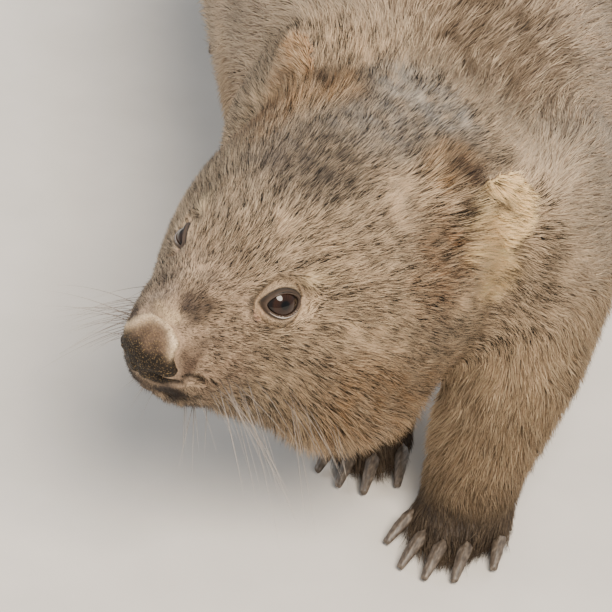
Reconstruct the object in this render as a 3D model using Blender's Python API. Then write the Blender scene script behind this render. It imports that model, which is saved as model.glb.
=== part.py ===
"""Still model of a young common wombat (Vombatus ursinus), standing, its head turned to its right.

Metres, +Z up. The animal faces -Y and its left side is at +X. The soles are flat at Z = 0 and the
origin lies under the middle of the animal. The solids follow the tips of the coat.

The flesh is shaped in one piece: rounded masses are joined, blended and thinned out to facets, and
thin cuts then part it into head, neck, trunk, tail, legs and feet. The driving dimensions are in
millimetres in a trunk frame whose Y = 0 is the station of the withers.
"""
import math

import bmesh
import bpy
import numpy as np
from mathutils import Matrix, Vector

MM = 0.001
GAP = 0.3                       # space left between solids that touch
FLESH_TRIANGLES = 3600
VOXEL = 2.9                     # grain of the blended flesh
SOFTENING = 9                   # passes that blend the masses
SOLE_CUT = 1.6                  # the soles are cut flat this high
RING_POINTS = 36
FOOT_HEIGHT = 24
LEG_CUT_SLOPE = 38              # degrees, of the cut from the belly up and out
LEG_CUT_DROP = 8                # the cut passes this far below the hip or shoulder joint

# Trunk: stations from the chest to the rump. Each holds Y, half width, top, bottom, widest height.
TRUNK_STATIONS = [
    (-58, 44, 160, 84, 122),
    (-36, 60, 178, 66, 120),
    (0, 75, 212, 56, 120),
    (30, 81, 232, 53, 118),
    (60, 86, 243, 51, 116),
    (140, 94, 250, 45, 112),
    (220, 97, 252, 43, 112),
    (290, 95, 246, 47, 114),
    (345, 87, 229, 60, 118),
    (385, 70, 203, 80, 126),
    (410, 42, 174, 106, 138),
]
TRUNK_ROUNDNESS = 2.15
BEND_START = -60                # behind this station the spine turns to the right
BEND_RUN = 85                   # within this length
BEND_ANGLE = 22                 # by so many degrees

# Head frame: X forward along the muzzle, Y to the animal's left, Z up, origin under the occiput.
HEAD_REFERENCE = Vector((-24, -138, 135))       # where the point below sits in the trunk frame
HEAD_REFERENCE_LOCAL = Vector((80, 0, 10))
HEAD_YAW_RIGHT = 14.5
HEAD_PITCH_UP = 9.4
HEAD_ROLL_LEFT = 6.6
# Stations along the head: X, half width, top, bottom, widest height.
HEAD_STATIONS = [
    (-18, 52, 68, -46, 2),
    (4, 57, 66, -50, -2),
    (26, 58, 63, -52, -6),
    (48, 55, 60, -49, -8),
    (70, 46, 52, -45, -9),
    (88, 34.5, 43, -38, -8),
    (104, 26, 34, -33, -7),
    (118, 21, 26.5, -28, -6),
    (129, 17, 20.5, -22, -5),
    (136, 12, 14, -17, -3),
]
HEAD_ROUNDNESS = 2.1
CHIN = ((104, 0, -26), (17, 14, 9))
JOWL = ((33, 30, -24), (46, 24, 31))
WHISKER_PAD = ((113, 10.5, -9), (16, 12, 12))

EYE_CENTRE = Vector((93.6, 17.8, 15.1))
EYE_RADIUS = 8.6
EYE_LOOKS = Vector((0.30, 0.88, 0.36))          # the left eye's axis
ORBIT_OFFSET = 12.0                             # hollow before the eye: distance out and half sizes
ORBIT_RADII = (8.2, 7.6, 7.0)

NOSE_CENTRE = Vector((130.0, 0, -2.5))
NOSE_RADII = (11.5, 13.4, 14.8)

# Ears in the head frame: upper and lower end of the base, and the tip.
EARS = {
    "ear_left": ((15, 38, 48), (-2, 54, 17), (3, 56, 57)),
    "ear_right": ((18, -36, 46), (13, -54, 24), (11, -55, 63)),
}
EAR_THICKNESS = 6.5
EAR_CUP = 3.5                                   # how far the rims curl out round the hollow

# Masses of the neck, in the head frame: centre and half sizes.
NAPE = ((-18, -2, 25), (33, 54, 47))
THROAT = ((-24, 2, 2), (40, 52, 50))
# Masses of the forequarters and hips, in the trunk frame.
SHOULDER_LEFT = ((52, -32, 114), (31, 46, 54))
SHOULDER_RIGHT = ((-48, -22, 112), (30, 44, 54))
BRISKET = ((4, -44, 98), (42, 32, 34))
HIP = ((60, 318, 104), (38, 58, 70))

# Legs of this stance: joints from the top down, each with its radius, in the trunk frame.
LEGS = {
    "foreleg_left": [((56, -42, 104), 31), ((58, -56, 78), 27), ((53, -65, 48), 24.5), ((51, -66, 24), 20)],
    "foreleg_right": [((-44, -18, 100), 33), ((-33, -26, 76), 29), ((-12, -32, 50), 25), ((-1, -33, 24), 20)],
    "hindleg_left": [((62, 322, 96), 40), ((62, 312, 66), 32), ((62, 330, 38), 25), ((60, 326, 24), 20)],
    "hindleg_right": [((-62, 306, 96), 40), ((-62, 288, 66), 32), ((-61, 292, 38), 25), ((-59, 284, 24), 20)],
}
# How far each leg's share reaches forward and back of its top joint, inward and outward.
LEG_REACH = {
    "foreleg_left": (78, 50, 34, 90),
    "foreleg_right": (78, 50, 58, 90),
    "hindleg_left": (60, 74, 50, 90),
    "hindleg_right": (60, 74, 50, 90),
}
# Feet: middle, half sizes, turn of the heading toward the animal's left, number of digits.
FEET = {
    "forefoot_left": ((52, -67, 12), (18.5, 20, 15), -2, 5),
    "forefoot_right": ((0, -33, 12), (18.5, 20, 15), 2, 5),
    "hindfoot_left": ((60, 306, 11), (17, 33, 14), 5, 4),
    "hindfoot_right": ((-59, 264, 11), (17, 33, 14), -5, 4),
}
DIGIT_SPREAD = {"fore": 30, "hind": 20}         # fan of the digits, degrees
DIGIT_RADIUS = 5.8
CLAW_SHOW = {"fore": 11.0, "hind": 8.5}         # length of claw in front of the toe
CLAW_WIDTH = {"fore": 5.4, "hind": 4.6}

TAIL_ROOT = Vector((0, 404, 150))
TAIL_TIP = Vector((0, 422, 134))
TAIL_RADIUS = 11

COLOURS = {
    "fur": ((0.165, 0.118, 0.078), 0.85),
    "fur_pale": ((0.47, 0.37, 0.26), 0.85),
    "fur_dark": ((0.055, 0.042, 0.034), 0.85),
    "nose": ((0.045, 0.034, 0.028), 0.5),
    "eye": ((0.012, 0.008, 0.006), 0.06),
    "claw": ((0.20, 0.165, 0.135), 0.45),
}


def clear_scene():
    """Remove every object of the scene."""
    for item in list(bpy.data.objects):
        bpy.data.objects.remove(item, do_unlink=True)


def material(name):
    """Principled material of one of the model's surfaces."""
    made = bpy.data.materials.get(name)
    if made is None:
        colour, roughness = COLOURS[name]
        made = bpy.data.materials.new(name)
        made.use_nodes = True
        shader = made.node_tree.nodes["Principled BSDF"]
        shader.inputs["Base Color"].default_value = (*colour, 1.0)
        shader.inputs["Roughness"].default_value = roughness
        shader.inputs["Metallic"].default_value = 0.0
    return made


def object_from_bmesh(name, bm):
    """Link a new object that holds the given bmesh, in metres."""
    bmesh.ops.recalc_face_normals(bm, faces=bm.faces)
    mesh = bpy.data.meshes.new(name)
    bm.to_mesh(mesh)
    bm.free()
    made = bpy.data.objects.new(name, mesh)
    bpy.context.scene.collection.objects.link(made)
    return made


def apply_modifiers(item):
    """Replace the object's mesh by its evaluated mesh."""
    graph = bpy.context.evaluated_depsgraph_get()
    mesh = bpy.data.meshes.new_from_object(item.evaluated_get(graph))
    item.modifiers.clear()
    item.data = mesh
    return item


def head_matrix():
    """Head frame in the trunk frame, in millimetres."""
    forward = Vector((0, -1, 0))
    left = Vector((1, 0, 0))
    up = Vector((0, 0, 1))
    upright = Matrix((forward, left, up)).transposed()
    yaw = Matrix.Rotation(math.radians(-HEAD_YAW_RIGHT), 3, "Z")
    pitch = Matrix.Rotation(math.radians(-HEAD_PITCH_UP), 3, "Y")
    roll = Matrix.Rotation(math.radians(-HEAD_ROLL_LEFT), 3, "X")
    turned = yaw @ upright @ pitch @ roll
    origin = HEAD_REFERENCE - turned @ HEAD_REFERENCE_LOCAL
    return Matrix.Translation(origin) @ turned.to_4x4()


def smooth_stations(stations, step):
    """Stations resampled on a smooth curve through the given ones."""
    table = np.array(stations, dtype=float)
    place = table[:, 0]
    slopes = np.gradient(table, place, axis=0)
    count = int(round((place[-1] - place[0]) / step)) + 1
    rows = []
    for at in np.linspace(place[0], place[-1], count):
        k = min(int(np.searchsorted(place, at, side="right")) - 1, len(place) - 2)
        span = place[k + 1] - place[k]
        t = (at - place[k]) / span
        start = (1 + 2 * t) * (1 - t) ** 2
        end = t * t * (3 - 2 * t)
        leave = t * (1 - t) ** 2 * span
        arrive = -t * t * (1 - t) * span
        row = start * table[k] + end * table[k + 1] + leave * slopes[k] + arrive * slopes[k + 1]
        rows.append(row)
    return rows


def section(half_width, top, bottom, widest, roundness):
    """Closed outline, flatter below than above, as (side, height) pairs."""
    outline = []
    for k in range(RING_POINTS):
        angle = 2 * math.pi * k / RING_POINTS
        across = abs(math.cos(angle)) ** (2 / roundness) * math.copysign(1, math.cos(angle))
        rise = abs(math.sin(angle)) ** (2 / roundness)
        reach = top - widest if math.sin(angle) > 0 else bottom - widest
        outline.append((half_width * across, widest + reach * rise))
    return outline


def unit_ball(around, levels):
    """Points and faces of a ball of radius one."""
    points = [(0, 0, 1)]
    for j in range(1, levels):
        tilt = math.pi * j / levels
        for k in range(around):
            turn = 2 * math.pi * k / around
            points.append((math.sin(tilt) * math.cos(turn), math.sin(tilt) * math.sin(turn), math.cos(tilt)))
    points.append((0, 0, -1))
    faces = []
    for k in range(around):
        nxt = (k + 1) % around
        faces.append((0, 1 + k, 1 + nxt))
        for j in range(levels - 2):
            row = 1 + j * around
            faces.append((row + k, row + around + k, row + around + nxt, row + nxt))
        last = 1 + (levels - 2) * around
        faces.append((len(points) - 1, last + nxt, last + k))
    return np.array(points), faces


class Masses:
    """Closed shapes in the trunk frame, collected in millimetres."""

    def __init__(self):
        self.points = []
        self.faces = []

    def add(self, points, faces):
        first = len(self.points)
        self.points.extend(points)
        self.faces.extend([tuple(first + k for k in face) for face in faces])

    def loft(self, rings):
        """Skin over a row of rings of equal length, closed flat at both ends."""
        size = len(rings[0])
        faces = [tuple(range(size))[::-1], tuple(size * (len(rings) - 1) + k for k in range(size))]
        for j in range(len(rings) - 1):
            for k in range(size):
                nxt = (k + 1) % size
                faces.append((size * j + k, size * j + nxt, size * (j + 1) + nxt, size * (j + 1) + k))
        self.add([Vector(point) for ring in rings for point in ring], faces)

    def ball(self, centre, radii, frame=None, around=28, levels=18):
        """Ellipsoid at a place of the trunk frame, or of the given frame."""
        shape = Matrix.Translation(Vector(centre)) @ Matrix.Diagonal((*radii, 1.0))
        if frame is not None:
            shape = frame @ shape
        points, faces = unit_ball(around, levels)
        self.add([shape @ Vector(point) for point in points], faces)

    def stroke(self, joints, spacing=4.0):
        """Rounded limb: balls along the line between joints, each given as place and radius."""
        for (start, r0), (end, r1) in zip(joints, joints[1:]):
            start, end = Vector(start), Vector(end)
            count = max(2, int((end - start).length / spacing))
            for k in range(count + 1):
                radius = r0 + (r1 - r0) * k / count
                self.ball(start.lerp(end, k / count), (radius, radius, radius), None, 16, 10)

    def to_object(self, name):
        mesh = bpy.data.meshes.new(name)
        mesh.from_pydata([bent(point) * MM for point in self.points], [], self.faces)
        bm = bmesh.new()
        bm.from_mesh(mesh)
        return object_from_bmesh(name, bm)


def bend_at(y):
    """Frame of the spine at a station, after its turn to the right."""
    behind = max(y - BEND_START, 0.0)
    radius = BEND_RUN / math.radians(BEND_ANGLE)
    angle = min(behind, BEND_RUN) / radius
    straight = max(behind - BEND_RUN, 0.0)
    side = -radius * (1 - math.cos(angle)) - straight * math.sin(angle)
    along = min(y, BEND_START) + radius * math.sin(angle) + straight * math.cos(angle)
    return Matrix.Translation((side, along, 0)) @ Matrix.Rotation(angle, 4, "Z")


def bent(point):
    """Place of the trunk frame after the spine's turn."""
    return bend_at(point[1]) @ Vector((point[0], 0, point[2]))


def opposite(place):
    """The same place on the other side of a frame, given as forward, side, up."""
    return Vector((place[0], -place[1], place[2]))


def add_trunk(masses):
    rings = []
    for y, half, top, bottom, widest in smooth_stations(TRUNK_STATIONS, 12):
        rings.append([(x, y, z) for x, z in section(half, top, bottom, widest, TRUNK_ROUNDNESS)])
    masses.loft(rings)
    for y, half, top, bottom, _ in (TRUNK_STATIONS[0], TRUNK_STATIONS[-1]):
        masses.ball((0, y, (top + bottom) / 2), (half * 0.93, 13, (top - bottom) * 0.47))
    for centre, radii in (SHOULDER_LEFT, SHOULDER_RIGHT, BRISKET):
        masses.ball(centre, radii)
    for side in (1, -1):
        masses.ball((HIP[0][0] * side, HIP[0][1], HIP[0][2]), HIP[1])
    masses.stroke([(TAIL_ROOT, TAIL_RADIUS), (TAIL_TIP, TAIL_RADIUS * 0.7)])


def add_head(masses, frame):
    rings = []
    for x, half, top, bottom, widest in smooth_stations(HEAD_STATIONS, 6):
        outline = section(half, top, bottom, widest, HEAD_ROUNDNESS)
        rings.append([frame @ Vector((x, y, z)) for y, z in outline])
    masses.loft(rings)
    for centre, radii in (NAPE, THROAT, CHIN, JOWL, WHISKER_PAD):
        masses.ball(centre, radii, frame)
    for centre, radii in (JOWL, WHISKER_PAD):
        masses.ball(opposite(centre), radii, frame)


def digit_rays(foot):
    """Yield each digit's number, knuckle, tip and direction for a foot, from the inner side out."""
    centre, half, heading, digits = FEET[foot]
    side = 1 if foot.endswith("left") else -1
    spread = DIGIT_SPREAD["fore" if foot.startswith("fore") else "hind"]
    turn = Matrix.Rotation(math.radians(heading), 3, "Z")
    for k in range(digits):
        share = 2 * k / (digits - 1) - 1
        angle = math.radians(share * spread / 2)
        direction = turn @ Vector((math.sin(angle) * side, -math.cos(angle), 0))
        front = half[1] * 0.92 - 15 * abs(share) ** 2.4 - 4 * share
        knuckle = Vector(centre) + turn @ Vector((half[0] * 0.8 * share * side, -front, 0))
        knuckle.z = 7.6
        tip = knuckle + direction * 6
        tip.z = 6.4
        yield k + 1, knuckle, tip, direction


def add_feet(masses):
    for foot, (centre, half, heading, _) in FEET.items():
        turn = Matrix.Translation(Vector(centre)) @ Matrix.Rotation(math.radians(heading), 4, "Z")
        masses.ball((0, 0, 0), half, turn)
        for _, knuckle, tip, _ in digit_rays(foot):
            masses.stroke([(knuckle, DIGIT_RADIUS + 0.8), (tip, DIGIT_RADIUS)], 2.5)


def make_flesh(frame):
    """The whole furred body as one blended, thinned solid with flat soles."""
    masses = Masses()
    add_trunk(masses)
    add_head(masses, frame)
    for joints in LEGS.values():
        masses.stroke(joints)
    add_feet(masses)
    flesh = masses.to_object("flesh")
    blend = flesh.modifiers.new("blend", "REMESH")
    blend.mode = "VOXEL"
    blend.voxel_size = VOXEL * MM
    soften = flesh.modifiers.new("soften", "SMOOTH")
    soften.factor = 0.5
    soften.iterations = SOFTENING
    apply_modifiers(flesh)
    thin = flesh.modifiers.new("thin", "DECIMATE")
    thin.ratio = FLESH_TRIANGLES / triangle_count(flesh)
    thin.use_collapse_triangulate = True
    apply_modifiers(flesh)
    flatten_soles(flesh)
    return flesh


def flatten_soles(item):
    """Cut the soles flat at one level and lower the rest to the floor."""
    bm = bmesh.new()
    bm.from_mesh(item.data)
    geometry = bm.verts[:] + bm.edges[:] + bm.faces[:]
    cut = bmesh.ops.bisect_plane(bm, geom=geometry, dist=1e-6, plane_co=(0, 0, SOLE_CUT * MM),
                                 plane_no=(0, 0, -1), clear_outer=True)
    rim = [edge for edge in cut["geom_cut"] if isinstance(edge, bmesh.types.BMEdge)]
    bmesh.ops.holes_fill(bm, edges=rim, sides=0)
    bmesh.ops.translate(bm, vec=(0, 0, -SOLE_CUT * MM), verts=bm.verts)
    bmesh.ops.recalc_face_normals(bm, faces=bm.faces)
    bm.to_mesh(item.data)
    bm.free()


def triangle_count(item):
    return sum(len(face.vertices) - 2 for face in item.data.polygons)


def duplicate(item, name):
    made = bpy.data.objects.new(name, item.data.copy())
    bpy.context.scene.collection.objects.link(made)
    return made


def discard(item):
    bpy.data.objects.remove(item, do_unlink=True)


def boolean(item, cutter, operation):
    """Apply an exact Boolean to the object."""
    step = item.modifiers.new("cut", "BOOLEAN")
    step.operation = operation
    step.solver = "EXACT"
    step.object = cutter
    return apply_modifiers(item)


def connected_groups(bm):
    """Vertices of the mesh in groups that hang together, smallest group first."""
    unseen = set(bm.verts)
    groups = []
    while unseen:
        frontier = [unseen.pop()]
        group = set(frontier)
        while frontier:
            for edge in frontier.pop().link_edges:
                for vert in edge.verts:
                    if vert in unseen:
                        unseen.remove(vert)
                        group.add(vert)
                        frontier.append(vert)
        groups.append(group)
    return sorted(groups, key=len)


def finish(item, surface):
    """Keep the object's largest body, in triangles, and give it its surface."""
    bm = bmesh.new()
    bm.from_mesh(item.data)
    bmesh.ops.remove_doubles(bm, verts=bm.verts, dist=1e-6)
    bmesh.ops.dissolve_degenerate(bm, edges=bm.edges, dist=2e-6)
    for group in connected_groups(bm)[:-1]:
        bmesh.ops.delete(bm, geom=list(group), context="VERTS")
    bmesh.ops.triangulate(bm, faces=bm.faces)
    bmesh.ops.recalc_face_normals(bm, faces=bm.faces)
    bm.to_mesh(item.data)
    bm.free()
    item.data.materials.clear()
    item.data.materials.append(material(surface))
    item.data.shade_smooth()
    item.data.set_sharp_from_angle(angle=math.radians(40))
    return item


def ellipsoid(centre, radii, frame, grow, around=16):
    masses = Masses()
    masses.ball(centre, [radius + grow for radius in radii], frame, around, around * 5 // 8)
    return masses.to_object("ellipsoid")


def set_into(flesh, name, make_solid, surface):
    """Add a solid of its own and hollow its seat out of the flesh, with a thin gap."""
    seat = make_solid(GAP)
    boolean(flesh, seat, "DIFFERENCE")
    discard(seat)
    solid = make_solid(0.0)
    solid.name = name
    finish(solid, surface)


def add_eyes(flesh, frame):
    """Eyeballs, each seated at the bottom of a shallow hollow."""
    radii = (EYE_RADIUS, EYE_RADIUS, EYE_RADIUS)
    out = EYE_CENTRE + EYE_LOOKS.normalized() * ORBIT_OFFSET
    for name, centre, hollow in (("eye_left", EYE_CENTRE, out),
                                 ("eye_right", opposite(EYE_CENTRE), opposite(out))):
        orbit = ellipsoid(hollow, ORBIT_RADII, frame, 0.0, 14)
        boolean(flesh, orbit, "DIFFERENCE")
        discard(orbit)
        set_into(flesh, name, lambda grow: ellipsoid(centre, radii, frame, grow, 12), "eye")


def add_nose(flesh, frame):
    set_into(flesh, "nose_pad", lambda grow: ellipsoid(NOSE_CENTRE, NOSE_RADII, frame, grow), "nose")


def flesh_with_gap(flesh):
    """Copy of the flesh grown by the gap, to trim what grows out of it."""
    grown = duplicate(flesh, "grown")
    swell = grown.modifiers.new("swell", "DISPLACE")
    swell.strength = GAP * MM
    swell.mid_level = 0.0
    return apply_modifiers(grown)


def grow_out(solid, grown_flesh, name, surface):
    """Trim a solid where it meets the flesh and keep what stands out of it."""
    boolean(solid, grown_flesh, "DIFFERENCE")
    solid.name = name
    finish(solid, surface)


def ear(name, frame):
    """Short ear: a cupped leaf with a rounded tip, its root inside the head."""
    front, back, tip = (Vector(point) for point in EARS[name])
    side = 1 if name.endswith("left") else -1
    root = (front + back) / 2
    half = (front - back) / 2
    across = half.normalized()
    lean = (tip - root).dot(across)
    rise = tip - root - across * lean
    hollow = across.cross(rise).normalized() * side
    columns, rows = 6, 5
    layers = []
    for face in (1, -1):
        for j in range(rows + 1):
            t = j / rows
            height = -0.35 + 1.35 * math.sin(t * math.pi / 2)
            span = half.length * (1.04 - 0.8 * t ** 2.4)
            for i in range(columns + 1):
                u = 2 * i / columns - 1
                rim = math.sqrt(max(0.0, 1 - u * u))
                thick = EAR_THICKNESS / 2 * (0.35 + 0.65 * rim) * (1 - 0.45 * t)
                place = root + rise * (height - 0.1 * t * u * u)
                place += across * (span * u + lean * max(height, 0.0))
                place += hollow * (EAR_CUP * u * u * (1 - 0.5 * t) + face * thick)
                layers.append(frame @ place)
    row, layer = columns + 1, (columns + 1) * (rows + 1)
    faces = []
    for j in range(rows):
        for i in range(columns):
            quad = (j * row + i, j * row + i + 1, (j + 1) * row + i + 1, (j + 1) * row + i)
            faces.append(quad)
            faces.append(tuple(layer + k for k in reversed(quad)))
    rim = list(range(row)) + [row * (j + 1) - 1 for j in range(1, rows + 1)]
    rim += [layer - 1 - i for i in range(1, row)] + [row * (rows - j) for j in range(1, rows)]
    for one, other in zip(rim, rim[1:] + rim[:1]):
        faces.append((other, one, layer + one, layer + other))
    masses = Masses()
    masses.add(layers, faces)
    return masses.to_object("ear")


def claw(kind, tip, direction):
    """Blunt curved digging claw from inside the toe forward and down to the floor."""
    width = CLAW_WIDTH[kind]
    start = tip - direction * 2
    start.z = 8.0
    length = CLAW_SHOW[kind] + DIGIT_RADIUS + 2
    side = direction.cross(Vector((0, 0, 1)))
    rings = []
    steps = 3
    for k in range(steps + 1):
        t = k / steps
        middle = start + direction * (length * t) - Vector((0, 0, 5.6 * t * t))
        half = width / 2 * (1 - 0.5 * t * t)
        deep = width * 0.6 * (1 - 0.66 * t)
        ring = []
        for j in range(5):
            angle = 2 * math.pi * (j + 0.25) / 5
            ring.append(middle + side * (half * math.cos(angle)) + Vector((0, 0, deep * math.sin(angle))))
        rings.append(ring)
    masses = Masses()
    masses.loft(rings)
    return masses.to_object("claw")


def add_outgrowths(flesh, frame):
    """Ears and claws, which stand on the flesh."""
    grown = flesh_with_gap(flesh)
    for name in EARS:
        grow_out(ear(name, frame), grown, name, "fur_pale")
    for foot in FEET:
        kind = "fore" if foot.startswith("fore") else "hind"
        paw = foot.replace("foot", "claw")
        for number, _, tip, direction in digit_rays(foot):
            grow_out(claw(kind, tip, direction), grown, f"{paw}_{number}", "claw")
    discard(grown)


def box_region(low, high, frame, grow):
    """Box between two corners of a frame, as a cutter."""
    spread = Vector((grow, grow, grow))
    low, high = Vector(low) - spread, Vector(high) + spread
    place = frame @ Matrix.Translation((low + high) / 2) @ Matrix.Diagonal((*(high - low), 1.0))
    bm = bmesh.new()
    bmesh.ops.create_cube(bm, size=1.0, matrix=Matrix.Scale(MM, 4) @ place)
    return object_from_bmesh("region", bm)


def part_off(body, name, low, high, frame, surface):
    """Part the share of the body inside a box off as a node, with a thin gap to the rest."""
    region = box_region(low, high, frame, 0.0)
    node = boolean(duplicate(body, name), region, "INTERSECT")
    discard(region)
    region = box_region(low, high, frame, GAP)
    boolean(body, region, "DIFFERENCE")
    discard(region)
    return finish(node, surface)


def frame_at(origin, forward, up):
    """Frame with X along forward and Z as near as it can to up."""
    x = Vector(forward).normalized()
    y = Vector(up).cross(x).normalized()
    z = x.cross(y)
    axes = Matrix((x, y, z)).transposed().to_4x4()
    return bend_at(origin[1]) @ Matrix.Translation((origin[0], 0, origin[2])) @ axes


def part_legs(flesh):
    """Feet at the wrist and hock, then the legs along a slope from the belly up and out."""
    upright = ((0, -1, 0), (0, 0, 1))
    for foot, (centre, half, _, _) in FEET.items():
        at = frame_at((centre[0], centre[1], 0), *upright)
        part_off(flesh, foot, (-60, -30, -20), (60, 30, FOOT_HEIGHT), at, "fur_dark")
    for leg, joints in LEGS.items():
        side = 1 if leg.endswith("left") else -1
        front, back, inner, outer = LEG_REACH[leg]
        top = Vector(joints[0][0]) - Vector((0, 0, LEG_CUT_DROP))
        slope = Matrix.Identity(4)
        slope[2][1] = side * math.tan(math.radians(LEG_CUT_SLOPE))
        low = (-back, -inner if side > 0 else -outer, -160)
        high = (front, outer if side > 0 else inner, 0)
        part_off(flesh, leg, low, high, frame_at(top, *upright) @ slope, "fur")


def part_head(flesh, frame):
    """The head in front of the neck, then its lower jaw and muzzle."""
    head = part_off(flesh, "head", (-12, -90, -84), (190, 90, 110), frame, "fur")
    part_off(head, "lower_jaw", (52, -30, -84), (130, 30, -25), frame, "fur")
    part_off(head, "muzzle", (108, -60, -60), (190, 60, 60), frame, "fur")
    finish(head, "fur")


def part_trunk(flesh):
    """Neck, chest, belly, rump and tail."""
    forward, up = (0, -1, 0), (0, 0, 1)
    neck_base = frame_at((-8, -34, 140), (-0.15, -0.93, 0.33), up)
    part_off(flesh, "neck", (0, -140, -140), (140, 140, 140), neck_base, "fur")
    part_off(flesh, "tail", (-40, -26, -34), (0, 26, 34), frame_at((0, 408, 140), forward, up), "fur")
    part_off(flesh, "chest", (-70, -160, -20), (160, 160, 300), frame_at((0, 0, 0), forward, up), "fur")
    part_off(flesh, "belly", (0, -160, -20), (300, 160, 300), frame_at((0, 240, 0), forward, up), "fur")
    flesh.name = "rump"
    finish(flesh, "fur")


def centre_on_floor():
    """Move the model so that its box stands centred on the floor at the origin."""
    table = np.array([vert.co for item in bpy.data.objects for vert in item.data.vertices])
    low, high = table.min(axis=0), table.max(axis=0)
    shift = Vector((-(low[0] + high[0]) / 2, -(low[1] + high[1]) / 2, -low[2]))
    for item in bpy.data.objects:
        item.data.transform(Matrix.Translation(shift))


def main():
    clear_scene()
    frame = head_matrix()
    flesh = make_flesh(frame)
    add_eyes(flesh, frame)
    add_nose(flesh, frame)
    add_outgrowths(flesh, frame)
    part_legs(flesh)
    part_head(flesh, frame)
    part_trunk(flesh)
    centre_on_floor()


main()
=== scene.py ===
import math

import bmesh
import bpy
import numpy as np
from mathutils import Matrix, Vector
from mathutils.bvhtree import BVHTree
from mathutils.kdtree import KDTree


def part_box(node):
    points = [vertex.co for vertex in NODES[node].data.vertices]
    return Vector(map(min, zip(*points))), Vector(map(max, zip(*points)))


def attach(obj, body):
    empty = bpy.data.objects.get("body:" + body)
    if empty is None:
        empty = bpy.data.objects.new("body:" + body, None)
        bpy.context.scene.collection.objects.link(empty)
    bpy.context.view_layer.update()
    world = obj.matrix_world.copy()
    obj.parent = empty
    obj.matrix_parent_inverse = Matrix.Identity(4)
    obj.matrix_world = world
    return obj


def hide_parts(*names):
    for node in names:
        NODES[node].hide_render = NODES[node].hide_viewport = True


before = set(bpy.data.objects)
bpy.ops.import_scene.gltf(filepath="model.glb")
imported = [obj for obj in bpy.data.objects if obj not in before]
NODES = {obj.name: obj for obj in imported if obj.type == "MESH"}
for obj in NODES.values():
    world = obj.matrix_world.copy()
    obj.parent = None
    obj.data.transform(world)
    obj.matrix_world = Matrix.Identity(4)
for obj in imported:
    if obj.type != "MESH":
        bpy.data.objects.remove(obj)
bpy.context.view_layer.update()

MM = 0.001
SEED = 11
# Each ripple has a seed of its own. Waves in a ripple, a number that keeps cells apart, and a
# distance in mm that is past every effect
WAVES = 9
CELL_PRIME = 8191
FAR = 99.0

# Places in the head's own frame, in mm: x to the nose, y to the animal's left, z to the crown
EYE_SEAT = (93.6, 17.8, 15.1)
EYE_RADIUS = 8.3
CORNEA_ANGLE = 0.66
# How far from an eye's centre its lids shape and colour the coat
EYE_REACH = 22
EYE_FACES = (0.46, 0.79, 0.40)
PUPIL_FACES = (0.50, 0.77, 0.40)
EYE_LENGTHWISE = (-0.87, 0.48, 0.09)
NOSE_SEAT = (130.0, 0.0, -2.5)

# The lids' opening, in mm from the eye's axis, and how round its corners are
OPENING_FRONT = 6.6
OPENING_REAR = 6.8
OPENING_UP = 4.3
OPENING_DOWN = 4.3
ALMOND = 1.75
LID_THICKNESS = 0.9
RIM_RADIUS = 0.33

# The camera: where a point of the head is seen from it, and the head's axes as it sees them
CAMERA_DISTANCE = 1200
AIM_IN_HEAD = (80, 0, 10)
AIM_SEEN_AT = (-18.2, 11.3)
SEEN_FORWARD = (-0.566, -0.277, 0.776)
SEEN_LEFT = (0.763, -0.533, 0.366)
SEEN_UP = (0.312, 0.800, 0.513)
FOCAL_PIXELS = 3390
FRAME_PIXELS = 612
SENSOR = 36

# Coat of each part: depth, hair length, tuft width and spacing in mm, lift in degrees, colour.
# A real hair is about 0.1 mm wide, too fine to show, so each tuft is drawn as a lock of hairs
COAT = {
    "muzzle": (1.2, 3.2, 0.25, 0.42, 19, "#d0b191"),
    "lower_jaw": (1.9, 5.0, 0.34, 0.56, 20, "#a98f73"),
    "head": (2.5, 6.0, 0.28, 0.475, 17, "#dcbe9b"),
    "neck": (3.6, 8.5, 0.48, 0.80, 14, "#d2ba9e"),
    "chest": (4.4, 11.0, 0.60, 1.02, 14, "#cdb49a"),
    "belly": (5.5, 14.0, 0.80, 1.36, 17, "#bda488"),
    "rump": (5.5, 14.0, 0.80, 1.36, 17, "#b1977c"),
    "tail": (2.2, 7.0, 0.55, 0.95, 18, "#947c64"),
    "foreleg_left": (3.2, 8.0, 0.48, 0.88, 16, "#a68b6b"),
    # The right foreleg is painted darker than the left one: painted shade behind the head
    "foreleg_right": (3.2, 8.0, 0.48, 0.95, 16, "#967d62"),
    "hindleg_left": (3.6, 9.0, 0.60, 1.08, 16, "#967b60"),
    "hindleg_right": (3.6, 9.0, 0.60, 1.08, 16, "#967b60"),
    "forefoot_left": (1.0, 4.6, 0.42, 0.66, 14, "#56483b"),
    "forefoot_right": (1.0, 4.6, 0.42, 0.70, 14, "#56483b"),
    "hindfoot_left": (1.0, 4.6, 0.42, 0.76, 14, "#56483b"),
    "hindfoot_right": (1.0, 4.6, 0.42, 0.76, 14, "#56483b"),
}
FLESH = list(COAT)
HEAD_PARTS = ("muzzle", "lower_jaw", "head")
# Columns of the skin's fields: the coat's sizes, its colour and the way that it lies
COAT_FIELDS = ("depth", "length", "width", "spacing", "lift")
BASE = slice(5, 8)
LIE = slice(8, 11)
# How far tufts sway and draw together to locks, and how many tufts wide a lock is
CURL = 0.12
CLUMP = 0.28
LOCK_WIDTHS = 5.5
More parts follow.
